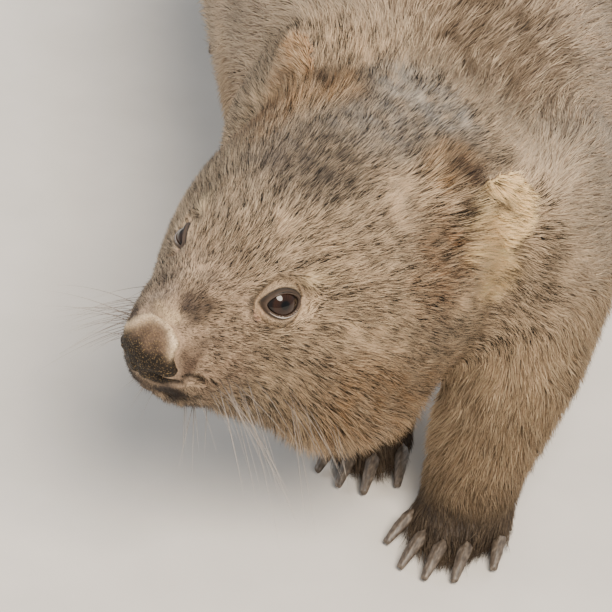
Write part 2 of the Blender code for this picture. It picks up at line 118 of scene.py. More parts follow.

# Marks of the head, markings and some painted shade and sheen: place, half sizes in mm, colour,
# strength, and share of it on the other side
HEAD_MARKS = (
    ((66, -3, 50), (26, 20, 13), "#786a5c", 0.80, 0),
    ((68, -18, 45), (16, 14, 11), "#7d6f63", 0.65, 0),
    ((32, -38, 44), (25, 13, 14), "#a87c4e", 0.60, 0),
    ((52, -32, 42), (12, 8, 11), "#b58c60", 0.50, 0),
    ((48, -14, 58), (10, 8, 9), "#78695b", 0.60, 0),
    ((78, -10, 43), (12, 8, 8), "#857160", 0.25, 0),
    ((107, 3, 29), (10, 10, 7), "#8f7458", 0.40, 1),
    ((-36, 8, 78), (24, 36, 24), "#7d6853", 0.85, 1),
    ((38, 46, 32), (15, 12, 26), "#b7814f", 0.45, 1),
    # Greyish nape with a pale crest across it: the fur's own grey, paler as a painted sheen on the crest
    ((30, 5, 62), (20, 18, 12), "#a29a92", 0.60, 1),
    ((4, 8, 66), (12, 26, 13), "#cdc5bb", 0.70, 1),
    ((20, 28, 54), (17, 12, 13), "#9c7243", 0.75, 1),
    ((22, 29, 52), (6.5, 5, 6), "#4f3c2d", 0.80, 1),
    ((50, 45, -24), (42, 22, 24), "#b88a58", 0.60, 1),
    ((124, 16, 3), (6, 6, 10), "#8a725e", 0.55, 1),
    ((131, 6.5, 14), (6.5, 4.5, 4.5), "#493727", 0.85, 1),
    ((126, 10, 16), (7, 5, 5), "#54412f", 0.75, 1),
    ((131, 13.5, -1), (4.5, 4, 10), "#634c3a", 0.80, 1),
    ((126, 5, 18), (8, 6, 4), "#5f4c3d", 0.65, 1),
    ((121, 4, 22), (7, 6, 5), "#6b5746", 0.65, 0),
    ((128, -8, 16), (8, 6, 8), "#d3b9a0", 0.50, 0),
    ((119, 0, 25), (12, 8, 7), "#c8b096", 0.25, 0),
    ((114, 19, -8), (11, 8, 8), "#b8987c", 0.60, 1),
    ((134.4, 2.8, 12.0), (3.6, 4.6, 2.4), "#e6c79e", 1.0, 1),
    # Dark fur of the upper lip, mouth and front of the chin, deepened with painted shade under the nose
    ((128, 6, -20), (12, 17, 7), "#35281f", 0.88, 1),
    ((112, 6, -32), (16, 15, 7), "#54443a", 0.80, 1),
    ((90.5, 25.5, 25.6), (9, 4.5, 3.6), "#f7d9ac", 0.90, 1),
    ((104.9, 20.1, 17.0), (2.6, 3.0, 6.5), "#c0917c", 1.0, 1),
    # Dark at the eye's front corner, painted shade
    ((108.4, 17.8, 18.5), (1.8, 2.8, 6), "#4a3c32", 0.75, 1),
    ((113, 14.5, 22.5), (4.5, 3.8, 5.2), "#7d6856", 0.38, 1),
    # Near black at the eye's rear corner, painted shade
    ((89.4, 28.0, 18.4), (3.2, 2.4, 1.6), "#2a1f17", 0.95, 1),
    ((105, 23.5, 9.5), (2.0, 2.2, 2.2), "#46382d", 0.75, 1),
    ((20.5, 40.5, 40), (6.5, 7, 11), "#ffe0a8", 1.0, 0.3),
    ((20, 46, 33), (7.5, 7, 9), "#f8d199", 1.0, 0.3),
    ((7.5, 53.5, 23.5), (9.5, 8, 13), "#ffdba4", 1.0, 0.25),
    # Dark brown beside the ear's front edge, deepened with painted shade under the edge
    ((16.5, 34.5, 49.5), (5.5, 4.5, 7), "#46342a", 0.90, 0.6),
    ((25, 37.5, 43), (3.6, 4.5, 10), "#5a4433", 0.75, 0.6),
    ((-8, 60, 24), (8, 8, 16), "#7b6a58", 0.45, 1),
)
# Cream of the ears' fronts; the right ear's is a darker tan, painted shade on the far ear
EAR_CREAM = {1: "#ffdda4", -1: "#b4906a"}
EAR_RIM = "#b08055"
# Painted shade in the hollow of the ear
SHADE_IN_EAR_HOLLOW = "#4a3624"
EAR_BACK = "#ad957b"
EAR_HOLLOW_AT = (13.0, 44.5, 48)
EAR_HAIR_LIES = (-0.566, 0.763, 0.312)
EAR_OPENS = (0.72, 0.60, 0.12)

# Bare lids: colours of the lid, of the painted shade in the crease over it, and of the painted
# highlight on the moist inner edge
LID_SKIN = "#44362b"
CREASE_SHADE_OVER_LID = "#0f0b09"
LID_WIDTH = 1.05
RIM_HIGHLIGHT_COLOUR = "#d8cfc8"
# How open, and how strong the painted highlight on its wet lower edge is, for the left eye, 1,
# and the right eye, -1
SQUINT = {1: 1.0, -1: 0.6}
RIM_HIGHLIGHT_SHARE = {1: 1.0, -1: 0.35}

# Nose: pale ridge over the bare pad, the nostrils and the cleft, in the head's frame
NOSE_RIDGE = ((137, -10, 0), (138.0, -6.5, 5.0), (136.6, -3.4, 9.2), (135.4, 2.2, 11.0), (135.0, 5.8, 9.6),
              (135.8, 8.6, 6.0), (136.4, 10.2, 1.0))
NOSTRIL = ((137.5, 5.0, -8.4), (135.5, 9.6, -10.4), (131.5, 14.2, -8.8), (127.5, 17.0, -7.6))
CLEFT = ((141, 0, -7), (139, 0, -13), (134, 0, -18))
MOUTH = ((133, 0, -21.5), (129, 10, -20.5), (122, 15.5, -20.5), (110, 19.5, -23.5), (99, 23, -24))
NOSE_FOLD = ((130.5, 15.3, -8.0), (127, 17.3, -8.0), (123.5, 18.9, -10.6))
MOUTH_SHADE = "#1c1511"
# The bare nose: its outline in the head's frame, in mm, and its colours
NOSE_HALF_WIDTH = 9.8
NOSE_TOP = 9.9
NOSE_FOOT = -13.2
NOSE_REAR = 118
NOSE_PALE = "#e9cfab"
NOSE_UPPER = "#6b5644"
NOSE_DARK = "#19120b"
NOSTRIL_SLIT = ((136.5, 4.0, -12.8), (134.1, 9.8, -13.0), (131.3, 13.6, -11.6))
# Folds of the lips and beside the nostrils: path, depth and half width in mm
FOLDS = ((MOUTH, 3.2, 1.3), (NOSE_FOLD, 2.4, 1.0), (NOSTRIL_SLIT, 2.0, 1.1))


# Frames, units and small tools
def linear(hex_colour):
    """An sRGB hex colour as linear red, green and blue."""
    parts = [int(hex_colour[i:i + 2], 16) / 255 for i in (1, 3, 5)]
    return np.array([c / 12.92 if c <= 0.04045 else ((c + 0.055) / 1.055) ** 2.4 for c in parts])


def lengths(vectors):
    return np.linalg.norm(vectors, axis=1)


def unit(vectors):
    """Vectors, one or many, made one long."""
    vectors = np.asarray(vectors, float)
    return vectors / np.maximum(np.linalg.norm(vectors, axis=-1, keepdims=True), 1e-9)


def smoothstep(low, high, values):
    """0 below low, 1 above high, and smooth between; the other way round if low is above high."""
    t = np.clip((values - low) / (high - low), 0, 1)
    return t * t * (3 - 2 * t)


def bell(distance, width):
    """1 at no distance, falling off over that width."""
    return np.exp(-(distance / width) ** 2)


def on_side(places, side):
    """Places or directions of the head's frame, kept on the animal's left, 1, or mirrored, -1."""
    return np.asarray(places, float) * (1, side, 1)


def either_side(measure, places):
    """The larger of a measure of places and of their mirror images."""
    return np.maximum(measure(places), measure(on_side(places, -1)))


def node_centre(name):
    low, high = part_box(name)
    return np.array((low + high) / 2)


def head_frame():
    """The head's origin in metres and its axes as rows, from where the eyes and the nose are."""
    left_eye, right_eye = node_centre("eye_left"), node_centre("eye_right")
    left = unit(left_eye - right_eye)
    middle = (left_eye + right_eye) / 2
    to_nose = node_centre("nose_pad") - middle
    to_nose = unit(to_nose - left * (to_nose @ left))
    drop = math.atan2(NOSE_SEAT[2] - EYE_SEAT[2], NOSE_SEAT[0] - EYE_SEAT[0])
    forward = np.array(Matrix.Rotation(drop, 3, Vector(left)) @ Vector(to_nose))
    up = np.cross(forward, left)
    origin = middle - (forward * EYE_SEAT[0] + up * EYE_SEAT[2]) * MM
    return origin, np.array((forward, left, up))


HEAD_ORIGIN, HEAD_AXES = head_frame()
BACKWARD = unit((node_centre("tail") - node_centre("chest")) * (1, 1, 0))
TO_LEFT = np.cross(BACKWARD, (0, 0, -1))


def from_head(places):
    """Places of the head's frame, in mm, as places of the model, in metres."""
    return np.asarray(places, float) @ HEAD_AXES * MM + HEAD_ORIGIN


def to_head(points):
    """Points of the model, in metres, in the head's frame, in mm."""
    return (np.asarray(points, float) - HEAD_ORIGIN) @ HEAD_AXES.T / MM


def ripple(points, wavelength, seed):
    """A smooth random field of about -1 to 1 over points in metres, of that wavelength in mm."""
    draw = np.random.default_rng(seed)
    directions = unit(draw.normal(size=(WAVES, 3)))
    steps = 2 * np.pi / (wavelength * MM * draw.uniform(0.65, 1.5, WAVES))
    phases = draw.uniform(0, 2 * np.pi, WAVES)
    return np.sin(points @ (directions * steps[:, None]).T + phases).sum(1) / math.sqrt(WAVES)


def cells_of(points, size, wavelength, seed, wobble):
    """The wavy grid cell, of about that size in metres, that each point falls in, as a number."""
    shift = np.stack([ripple(points, wavelength, seed + k) for k in range(3)], axis=1) * wobble
    keys = np.floor(points / size + shift).astype(np.int64)
    return (keys[:, 0] * CELL_PRIME + keys[:, 1]) * CELL_PRIME + keys[:, 2]


def distance_to_path(points, path):
    """Distance of points from a broken line."""
    best = np.full(len(points), np.inf)
    for start, end in zip(np.array(path[:-1], float), np.array(path[1:], float)):
        step = end - start
        t = np.clip((points - start) @ step / (step @ step), 0, 1)
        best = np.minimum(best, lengths(points - start - t[:, None] * step))
    return best


# Objects and meshes
def moved_to(place):
    return Matrix.Translation(Vector(place))


def link(name, data):
    item = bpy.data.objects.new(name, data)
    bpy.context.scene.collection.objects.link(item)
    return item


def link_bmesh(name, bm):
    mesh = bpy.data.meshes.new(name)
    bm.to_mesh(mesh)
    bm.free()
    return link(name, mesh)


def merged(node_names, grow):
    """One bmesh from copies of CAD nodes, their loose triangles joined, grown by so many mm."""
    bm = bmesh.new()
    for name in node_names:
        bm.from_mesh(NODES[name].data)
    bmesh.ops.remove_doubles(bm, verts=bm.verts, dist=1e-6)
    bm.normal_update()
    for vertex in bm.verts:
        vertex.co += vertex.normal * grow * MM
    return bm


def evaluated_mesh(item):
    """A mesh of the object as its modifiers or its curve's bevel make it."""
    graph = bpy.context.evaluated_depsgraph_get()
    return bpy.data.meshes.new_from_object(item.evaluated_get(graph))


def remeshed(name, bm, voxel):
    """An object of the bmesh's solids as one even mesh with faces of about that size in mm."""
    item = link_bmesh(name, bm)
    modifier = item.modifiers.new("Remesh", "REMESH")
    modifier.mode = "VOXEL"
    modifier.voxel_size = voxel * MM
    mesh = evaluated_mesh(item)
    item.modifiers.clear()
    item.data = mesh
    return item


def vectors_of(mesh, name):
    """The vertices' places, co, or normals, normal."""
    found = np.empty(len(mesh.vertices) * 3)
    mesh.vertices.foreach_get(name, found)
    return found.reshape(-1, 3)


def set_places(mesh, points):
    mesh.vertices.foreach_set("co", np.asarray(points, np.float32).ravel())
    mesh.update()


def relax(mesh, values, passes, held=None):
    """Values at the mesh's vertices, moved halfway towards the mean of their neighbours."""
    pairs = np.empty(len(mesh.edges) * 2, np.int64)
    mesh.edges.foreach_get("vertices", pairs)
    first, second = pairs.reshape(-1, 2).T
    columns = np.array(values, float)
    neighbours = np.bincount(pairs, minlength=len(columns))[:, None]
    for _ in range(passes):
        total = np.stack([np.bincount(first, column[second], len(columns))
                          + np.bincount(second, column[first], len(columns))
                          for column in columns.T], axis=1)
        moved = columns + 0.5 * (total / np.maximum(neighbours, 1) - columns)
        if held is not None:
            moved[held] = columns[held]
        columns = moved
    return columns


def ease(mesh, passes):
    """Evens out a mesh, and gives its vertices' new places."""
    points = relax(mesh, vectors_of(mesh, "co"), passes)
    set_places(mesh, points)
    return points


def paint(mesh, name, values):
    """Numbers or colours at the vertices, kept on the mesh for its material."""
    values = np.asarray(values, np.float32)
    if values.ndim == 1:
        mesh.attributes.new(name, "FLOAT", "POINT").data.foreach_set("value", values)
        return
    colours = np.ones((len(values), 4), np.float32)
    colours[:, :3] = values
    mesh.attributes.new(name, "FLOAT_COLOR", "POINT").data.foreach_set("color", colours.ravel())


def read(mesh, name):
    """Numbers or colours kept on the mesh."""
    attribute = mesh.attributes[name]
    word, width = ("value", 1) if attribute.data_type == "FLOAT" else ("color", 4)
    values = np.empty(len(attribute.data) * width)
    attribute.data.foreach_get(word, values)
    return values if width == 1 else values.reshape(-1, 4)[:, :3]


def place_piece(item, finish, slot, *nodes):
    """Gives a piece its finish, its body and the CAD nodes that it takes the place of; its slot is not used.
    """
    item.data.shade_smooth()
    item.data.materials.append(finish)
    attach(item, "root")
    if nodes:
        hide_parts(*nodes)


# Markings and painted shade, the same for skin and coat
def ellipsoid_share(places, centre, radii):
    """1 inside an ellipsoid, fading to 0 at one and a half times its size."""
    return 1 - smoothstep(0.45, 1.45, lengths((places - np.array(centre)) / radii))


def tinted(colours, colour, share):
    """Colours drawn towards a hex colour by a share of each."""
    return colours + share[:, None] * (linear(colour) - colours)


def markings_and_painted_shade(points, base, fold_far):
    """The coat's colour at points in metres, from the part's own colour and the head's marks, with
    the painted shade of some marks and of the folds.
    """
    colours = np.array(base, float)
    in_head = to_head(points)
    ragged = 1 + 0.42 * ripple(points, 8, 21)
    for centre, radii, colour, strength, other_side in HEAD_MARKS:
        share = ellipsoid_share(in_head, centre, radii)
        if other_side:
            share = np.maximum(share, other_side * ellipsoid_share(on_side(in_head, -1), centre, radii))
        colours = tinted(colours, colour, np.clip(share * strength * ragged, 0, 1))
    colours = tinted(colours, MOUTH_SHADE, 0.92 * bell(fold_far, 1.4))
    mottle = 1 + 0.12 * ripple(points, 34, 22) + 0.11 * ripple(points, 8, 23)
    return np.clip(colours * mottle[:, None], 0.004, 1)


# Materials
RAMP, MIX, FIELD, BUMP = "ShaderNodeValToRGB", "ShaderNodeMix", "ShaderNodeAttribute", "ShaderNodeBump"
NOISE, CELLS, PLACE = "ShaderNodeTexNoise", "ShaderNodeTexVoronoi", "ShaderNodeTexCoord"
# A colour mix takes its factor at 0 and its two colours at 6 and 7
MULTIPLY = {"data_type": "RGBA", "blend_type": "MULTIPLY", "out": 2}
BLEND = {"data_type": "RGBA", "blend_type": "MIX", "out": 2}


def add(tree, kind, inputs=None, stops=(), out=0, **settings):
    """Adds a node with its settings, its inputs linked or set and a ramp's (place, colour) stops,
    and gives one of its outputs. A colour is hex; in a ramp a number is a grey."""
    made = tree.nodes.new(kind)
    for name, value in settings.items():
        setattr(made, name, value)
    for socket, value in (inputs or {}).items():
        if isinstance(value, bpy.types.NodeSocket):
            tree.links.new(value, made.inputs[socket])
        else:
            made.inputs[socket].default_value = (*linear(value), 1) if isinstance(value, str) else value
    elements = made.color_ramp.elements if stops else ()
    for _ in stops[2:]:  # a new ramp has two
        elements.new(0.5)
    for element, (place, colour) in zip(elements, stops):
        element.position = place
        element.color = (*linear(colour), 1) if isinstance(colour, str) else (colour,) * 3 + (1,)
    return made.outputs[out]


def finish_of(name, **constants):
    """A material with its shader's constants set on the sockets, its nodes and its shader."""
    material = bpy.data.materials.new(name)
    material.use_nodes = True
    shader = material.node_tree.nodes["Principled BSDF"]
    for socket, value in constants.items():
        shader.inputs[socket.replace("_", " ").title().replace("Ior", "IOR")].default_value = value
    return material, material.node_tree, shader


def show(tree, shader, colour, normal=None):
    """Links a colour, and a bump's normal if there is one, to the shader."""
    tree.links.new(colour, shader.inputs["Base Color"])
    if normal:
        tree.links.new(normal, shader.inputs["Normal"])


def per(size):
    """The scale of a pattern whose blobs are that many mm across."""
    return 1 / (size * MM)


def agouti_coat(name, root, band, tip, roughness):
    """Dense agouti fur: each lock is dark at the root, banded tan and dark or pale at its tip,
    which gives the salt-and-pepper look of the coat, its dark locks tinted blue-grey as a painted
    reflection of the sky; matt, with hardly any shine."""
    material, tree, shader = finish_of(name, roughness=roughness, specular_ior_level=0.22)
    colour_and_painted_light = add(tree, FIELD, attribute_name="colour_and_painted_light", out="Color")
    along = add(tree, FIELD, attribute_name="along", out="Fac")
    tone = add(tree, FIELD, attribute_name="tone", out="Fac")
    banding = add(tree, RAMP, {"Fac": along}, ((0.0, root), (0.42, band), (0.75, 1.0), (1.0, tip)))
    # Dark locks are tinted blue-grey, a painted reflection of the sky on dark hair
    lock = add(tree, RAMP, {"Fac": tone}, ((0.0, "#181b1f"), (0.33, "#373c43"), (0.49, 1.0), (1.0, 1.0)))
    pale = add(tree, RAMP, {"Fac": tone}, ((0.55, 0.0), (1.0, 0.6)))
    light = add(tree, RAMP, {"Fac": colour_and_painted_light}, ((0.02, 0.0), (0.34, 1.0)))
    colour = add(tree, MIX, {0: 1.0, 6: colour_and_painted_light, 7: banding}, **MULTIPLY)
    colour = add(tree, MIX, {0: 1.0, 6: colour, 7: lock}, **MULTIPLY)
    pale = add(tree, MIX, {0: 1.0, 6: pale, 7: light}, **MULTIPLY)
    pale = add(tree, MIX, {0: 1.0, 6: pale, 7: banding}, **MULTIPLY)
    show(tree, shader, add(tree, MIX, {0: pale, 6: colour, 7: "#f8e1bd"}, **BLEND))
    return material


def under_coat():
    """Skin under the fur with its dense underfur: dull and finely furrowed, dark partly by its own
    colour and partly by painted shade under the coat, deepest in the furrows. Its real strands
    of about 0.03 mm are too fine to show, so they are drawn as locks of 0.7 mm."""
    material, tree, shader = finish_of("underfur_skin", roughness=0.8)
    colour_and_painted_light = add(tree, FIELD, attribute_name="colour_and_painted_light", out="Color")
    bare = add(tree, FIELD, attribute_name="bare", out="Fac")
    place = add(tree, PLACE, out="Object")
    locks = add(tree, NOISE, {"Vector": place, "Scale": per(0.7), "Detail": 4, "Roughness": 0.65}, out="Fac")
    # Haired skin is darkened by painted shade under the coat, most in the furrows
    shade_in_furrows = add(tree, RAMP, {"Fac": locks}, ((0.3, 0.28), (0.7, 0.75)))
    haired = add(tree, MIX, {0: 1.0, 6: colour_and_painted_light, 7: shade_in_furrows}, **MULTIPLY)
    show(tree, shader, add(tree, MIX, {0: bare, 6: haired, 7: colour_and_painted_light}, **BLEND),
         add(tree, BUMP, {"Height": locks, "Distance": 0.35 * MM, "Strength": 0.8}))
    return material


def bare_nose():
    """Bare nose leather: granular hide with grains of 0.75 mm and painted shade in the creases between
    them, tan on its ridge and near black towards the bottom, with earth-coloured specks; the grains
    catch small soft lights."""
    material, tree, shader = finish_of("granular_nose_leather", roughness=0.64, specular_ior_level=0.22)
    colour_and_painted_light = add(tree, FIELD, attribute_name="colour_and_painted_light", out="Color")
    place = add(tree, PLACE, out="Object")
    grains = add(tree, CELLS, {"Vector": place, "Scale": per(0.75)}, out="Distance")
    specks = add(tree, NOISE, {"Vector": place, "Scale": per(0.55), "Detail": 2, "Roughness": 0.7}, out="Fac")
    specks = add(tree, RAMP, {"Fac": specks}, ((0.56, 0.0), (0.66, 0.75)))
    earthy = add(tree, MIX, {0: specks, 6: colour_and_painted_light, 7: "#8f7650"}, **BLEND)
    # Painted shade in the creases between the grains
    shade_in_crease = add(tree, RAMP, {"Fac": grains}, ((0.0, 1.0), (0.75, 0.62)))
    show(tree, shader, add(tree, MIX, {0: 1.0, 6: earthy, 7: shade_in_crease}, **MULTIPLY),
         add(tree, BUMP, {"Height": grains, "Distance": 0.28 * MM, "Strength": 0.9}, invert=True))
    return material


def wet_eye():
    """Living eye under a clear wet cornea: black pupil, dark brown fibrous iris, darker rim."""
    material, tree, shader = finish_of("wet_brown_eye", roughness=0.06, ior=1.376, specular_ior_level=0.3,
                                       coat_weight=0.3, coat_roughness=0.02)
    angle = add(tree, FIELD, attribute_name="angle", out="Fac")
    fibre = add(tree, FIELD, attribute_name="fibre", out="Fac")
    rings = add(tree, RAMP, {"Fac": angle}, (
        (0.0, "#030303"), (0.10, "#050404"), (0.15, "#24150d"), (0.29, "#2d1b11"),
        (0.38, "#120d0a"), (0.46, "#1a1512"), (0.75, "#2e2723")))
    streak = add(tree, RAMP, {"Fac": fibre}, ((0.0, 0.65), (1.0, 1.0)))
    show(tree, shader, add(tree, MIX, {0: 1.0, 6: rings, 7: streak}, **MULTIPLY))
    return material


def bare_lid():
    """Hairless rim of the eyelid: thin moist skin, dark with painted shade above and pale with a
    painted highlight below, with pores that are about 0.1 mm wide in life and are drawn at 0.4 and
    0.5 mm so that they show."""
    material, tree, shader = finish_of("moist_lid_skin", roughness=0.34, ior=1.4)
    colour_and_painted_light = add(tree, FIELD, attribute_name="colour_and_painted_light", out="Color")
    place = add(tree, PLACE, out="Object")
    pores = add(tree, NOISE, {"Vector": place, "Scale": per(0.5), "Detail": 3, "Roughness": 0.55}, out="Fac")
    shade = add(tree, RAMP, {"Fac": pores}, ((0.3, 0.75), (0.7, 1.0)))
    pits = add(tree, NOISE, {"Vector": place, "Scale": per(0.4), "Detail": 2, "Roughness": 0.55}, out="Fac")
    show(tree, shader, add(tree, MIX, {0: 1.0, 6: colour_and_painted_light, 7: shade}, **MULTIPLY),
         add(tree, BUMP, {"Height": pits, "Distance": 0.06 * MM, "Strength": 1.0}))
    return material


def worn_horn():
    """Keratin claws worn by digging: grey-brown, darkened with painted shade, dull and scratched,
    streaked along. The real layers are about 0.2 mm apart and are drawn at 0.9 mm so that they show."""
    material, tree, shader = finish_of("worn_claw_horn", roughness=0.48, ior=1.54)
    place = add(tree, PLACE, out="Object")
    drawn_out = add(tree, "ShaderNodeMapping", {"Vector": place, "Scale": (1, 0.25, 0.6)})
    streaks = add(tree, NOISE, {"Vector": drawn_out, "Scale": per(0.9), "Detail": 3}, out="Fac")
    # Grey-brown horn, darkened as painted shade
    show(tree, shader,
         add(tree, RAMP, {"Fac": streaks}, ((0.25, "#2b241e"), (0.5, "#4d4339"), (0.75, "#6f6458"))),
         add(tree, BUMP, {"Height": streaks, "Distance": 0.15 * MM, "Strength": 0.7}))
    return material


def stiff_whisker():
    """Whisker bristle: pale keratin, smooth and slightly glossy, darker at its base."""
    material, tree, shader = finish_of("pale_whisker_keratin", roughness=0.35, ior=1.54)
    along = add(tree, FIELD, attribute_name="along", out="Fac")
    place = add(tree, PLACE, out="Object")
    mottled = add(tree, NOISE, {"Vector": place, "Scale": per(6), "Detail": 2, "Roughness": 0.55}, out="Fac")
    base = add(tree, RAMP, {"Fac": along}, ((0.0, "#54483c"), (0.3, "#7d7064"), (1.0, "#b3a89c")))
    shade = add(tree, RAMP, {"Fac": mottled}, ((0.3, 0.8), (0.7, 1.0)))
    show(tree, shader, add(tree, MIX, {0: 1.0, 6: base, 7: shade}, **MULTIPLY))
    return material


def pale_plaster():
    """Matt off-white plaster, a little uneven in tone every 40 mm."""
    material, tree, shader = finish_of("pale_matt_plaster", roughness=0.9)
    place = add(tree, PLACE, out="Object")
    uneven = add(tree, NOISE, {"Vector": place, "Scale": per(40), "Detail": 3, "Roughness": 0.55}, out="Fac")
    show(tree, shader, add(tree, RAMP, {"Fac": uneven}, ((0.3, "#cfcac2"), (0.7, "#d6d1c9"))))
    return material


# Skin
def eye_axes(side):
    """An eye's centre and its outward, lengthwise and upward axes in the head's frame."""
    outward = unit(on_side(EYE_FACES, side))
    lengthwise = on_side(EYE_LENGTHWISE, side)
    lengthwise = unit(lengthwise - outward * (lengthwise @ outward))
    return on_side(EYE_SEAT, side), outward, lengthwise, np.cross(outward, lengthwise) * side


def opening_reach(along, up, side):
    """How far out the lids' opening reaches, in the direction of a point before the eye."""
    length = np.where(along < 0, OPENING_FRONT, OPENING_REAR)
    height = np.where(up > 0, OPENING_UP, OPENING_DOWN) * SQUINT[side]
    far = np.maximum(np.hypot(along, up), 1e-6)
    shape = (np.abs(along / length) ** ALMOND + np.abs(up / height) ** ALMOND) ** (1 / ALMOND)
    return far / np.maximum(shape, 1e-6)


def before_eye(places, side):
    """Places of the head's frame as along, up and out of an eye, with their reach beyond the lids."""
    centre, outward, lengthwise, upward = eye_axes(side)
    offset = places - centre
    along, up, out = offset @ lengthwise, offset @ upward, offset @ outward
    beyond = np.hypot(along, up) - opening_reach(along, up, side)
    return along, up, out, np.where(out < -2, FAR, beyond)


def beyond_lids(places):
    """How far places lie beyond the nearer eye's opening."""
    beyond = np.minimum(before_eye(places, 1)[3], before_eye(places, -1)[3])
    return np.where(eye_far(places) < EYE_REACH, beyond, FAR)


def eye_far(places):
    """How far places of the head's frame are from the nearer eye's centre."""
    return np.minimum(lengths(places - np.array(EYE_SEAT)), lengths(on_side(places, -1) - EYE_SEAT))


def shape_lids(places, side):
    """Skin drawn over the eyeball up to the opening's edge, with a fold round it."""
    along, up, out, beyond = before_eye(places, side)
    far = np.hypot(along, up)
    over_ball = np.sqrt(np.maximum((EYE_RADIUS + LID_THICKNESS) ** 2 - far ** 2, 9.0))
    draped = over_ball - 5.0 * (1 - smoothstep(-1.3, 0.0, beyond))
    draped = draped - 0.9 * bell(beyond - LID_WIDTH - 0.3, 0.55) * (beyond > 0)
    share = np.where((far < 16) & (out > -2), 1 - smoothstep(2.4, 7.5, beyond), 0)
    target = out + share * (draped - out)
    return places + eye_axes(side)[1] * (target - out)[:, None]


def surface_of(item):
    return BVHTree.FromObject(item, bpy.context.evaluated_depsgraph_get())


def on_surface(surface, path):
    """A path of the head's frame, finely cut and laid on the skin."""
    fine = [np.linspace(start, end, 6, endpoint=False) for start, end in zip(path[:-1], path[1:])]
    fine = np.concatenate([*fine, path[-1:]])
    return to_head([surface.find_nearest(Vector(place))[0] for place in from_head(fine)])


def folds_far(item, places):
    """For each fold of the face, on both sides, how far the places are from it along the skin."""
    surface = surface_of(item)
    near = (places[:, 0] > 88) & (np.abs(places[:, 1]) < 34) & (places[:, 2] < 2)
    found = []
    for path, _, _ in FOLDS:
        for side in (1, -1):
            far = np.full(len(places), FAR)
            far[near] = distance_to_path(places[near], on_surface(surface, on_side(path, side)))
            found.append(far)
    return found


def shape_folds(places, outward, found):
    """The grooves of the mouth and beside the nostrils, with fuller edges."""
    for number, far in enumerate(found):
        _, deep, wide = FOLDS[number // 2]
        groove = bell(far, wide) - 0.2 * bell(far - 2.3 * wide, wide)
        places = places - outward * (deep * groove)[:, None]
    return places


def edge_of_bare_nose(places):
    """How far inside the edge of the bare nose places of the head's frame are, in mm."""
    half_width = NOSE_HALF_WIDTH + 2.4 * smoothstep(2.0, -6.0, places[:, 2])
    top = NOSE_TOP - 0.05 * places[:, 1] ** 2
    outside = np.maximum(np.abs(places[:, 1]) - half_width, places[:, 2] - top)
    outside = np.maximum(outside, NOSE_FOOT - places[:, 2])
    return -np.where(places[:, 0] > NOSE_REAR, outside, FAR)


def bare_nose_share(places):
    """1 where the nose is bare leather, 0 where the muzzle's hair closes over its sides."""
    return smoothstep(-1.2, 0.6, edge_of_bare_nose(places))


def bare_patch(places):
    """How bare the skin is before the eye's corner."""
    return 0.96 * either_side(lambda p: ellipsoid_share(p, (104.9, 20.1, 17.2), (2.8, 3.2, 6.5)), places)


def lid_colours(places, colours):
    """Skin colours with the bare lids and painted shade in the crease over them."""
    for side in (1, -1):
        _, up, _, beyond = before_eye(places, side)
        colours = tinted(colours, LID_SKIN, 1 - smoothstep(LID_WIDTH, LID_WIDTH + 0.7, beyond))
        # Painted shade in the crease over the lids, stronger above the eye
        shade_in_crease = bell(beyond - LID_WIDTH - 0.4, 0.55) * (0.5 + 0.47 * smoothstep(-1.5, 1.0, up))
        colours = tinted(colours, CREASE_SHADE_OVER_LID, shade_in_crease)
    return colours


def subdivide_near(item, chosen):
    """Cuts the faces chosen by a test of their centres, in the head's frame, in four."""
    bm = bmesh.new()
    bm.from_mesh(item.data)
    near = chosen(to_head([face.calc_center_median() for face in bm.faces]))
    edges = {edge for face, take in zip(bm.faces, near) if take for edge in face.edges}
    bmesh.ops.subdivide_edges(bm, edges=list(edges), cuts=1, use_grid_fill=True)
    bm.to_mesh(item.data)
    bm.free()


def part_labels(points):
    """For each point, the index in FLESH of the part whose surface is nearest."""
    entries = [(index, vertex.co) for index, name in enumerate(FLESH) for vertex in NODES[name].data.vertices]
    tree = KDTree(len(entries))
    for number, (_, place) in enumerate(entries):
        tree.insert(place, number)
    tree.balance()
    return np.array([entries[tree.find(Vector(point))[1]][0] for point in points])


def parts_lie():
    """For each part, the way its hair points."""
    down = np.array((0, 0, -1))
    back_of_head = np.array((-1, 0, -0.12)) @ HEAD_AXES
    lies = {
        "muzzle": back_of_head,
        "lower_jaw": back_of_head,
        "head": back_of_head,
        "neck": unit(back_of_head + BACKWARD) + 0.15 * down,
        "chest": BACKWARD + 0.45 * down,
        "belly": BACKWARD + 0.35 * down,
        "rump": BACKWARD + 0.75 * down,
        "tail": 0.6 * BACKWARD + down,
    }
    leg, foot = down + 0.15 * BACKWARD, 0.9 * down - BACKWARD
    return np.array([unit(lies.get(name, leg if "leg" in name else foot)) for name in FLESH])


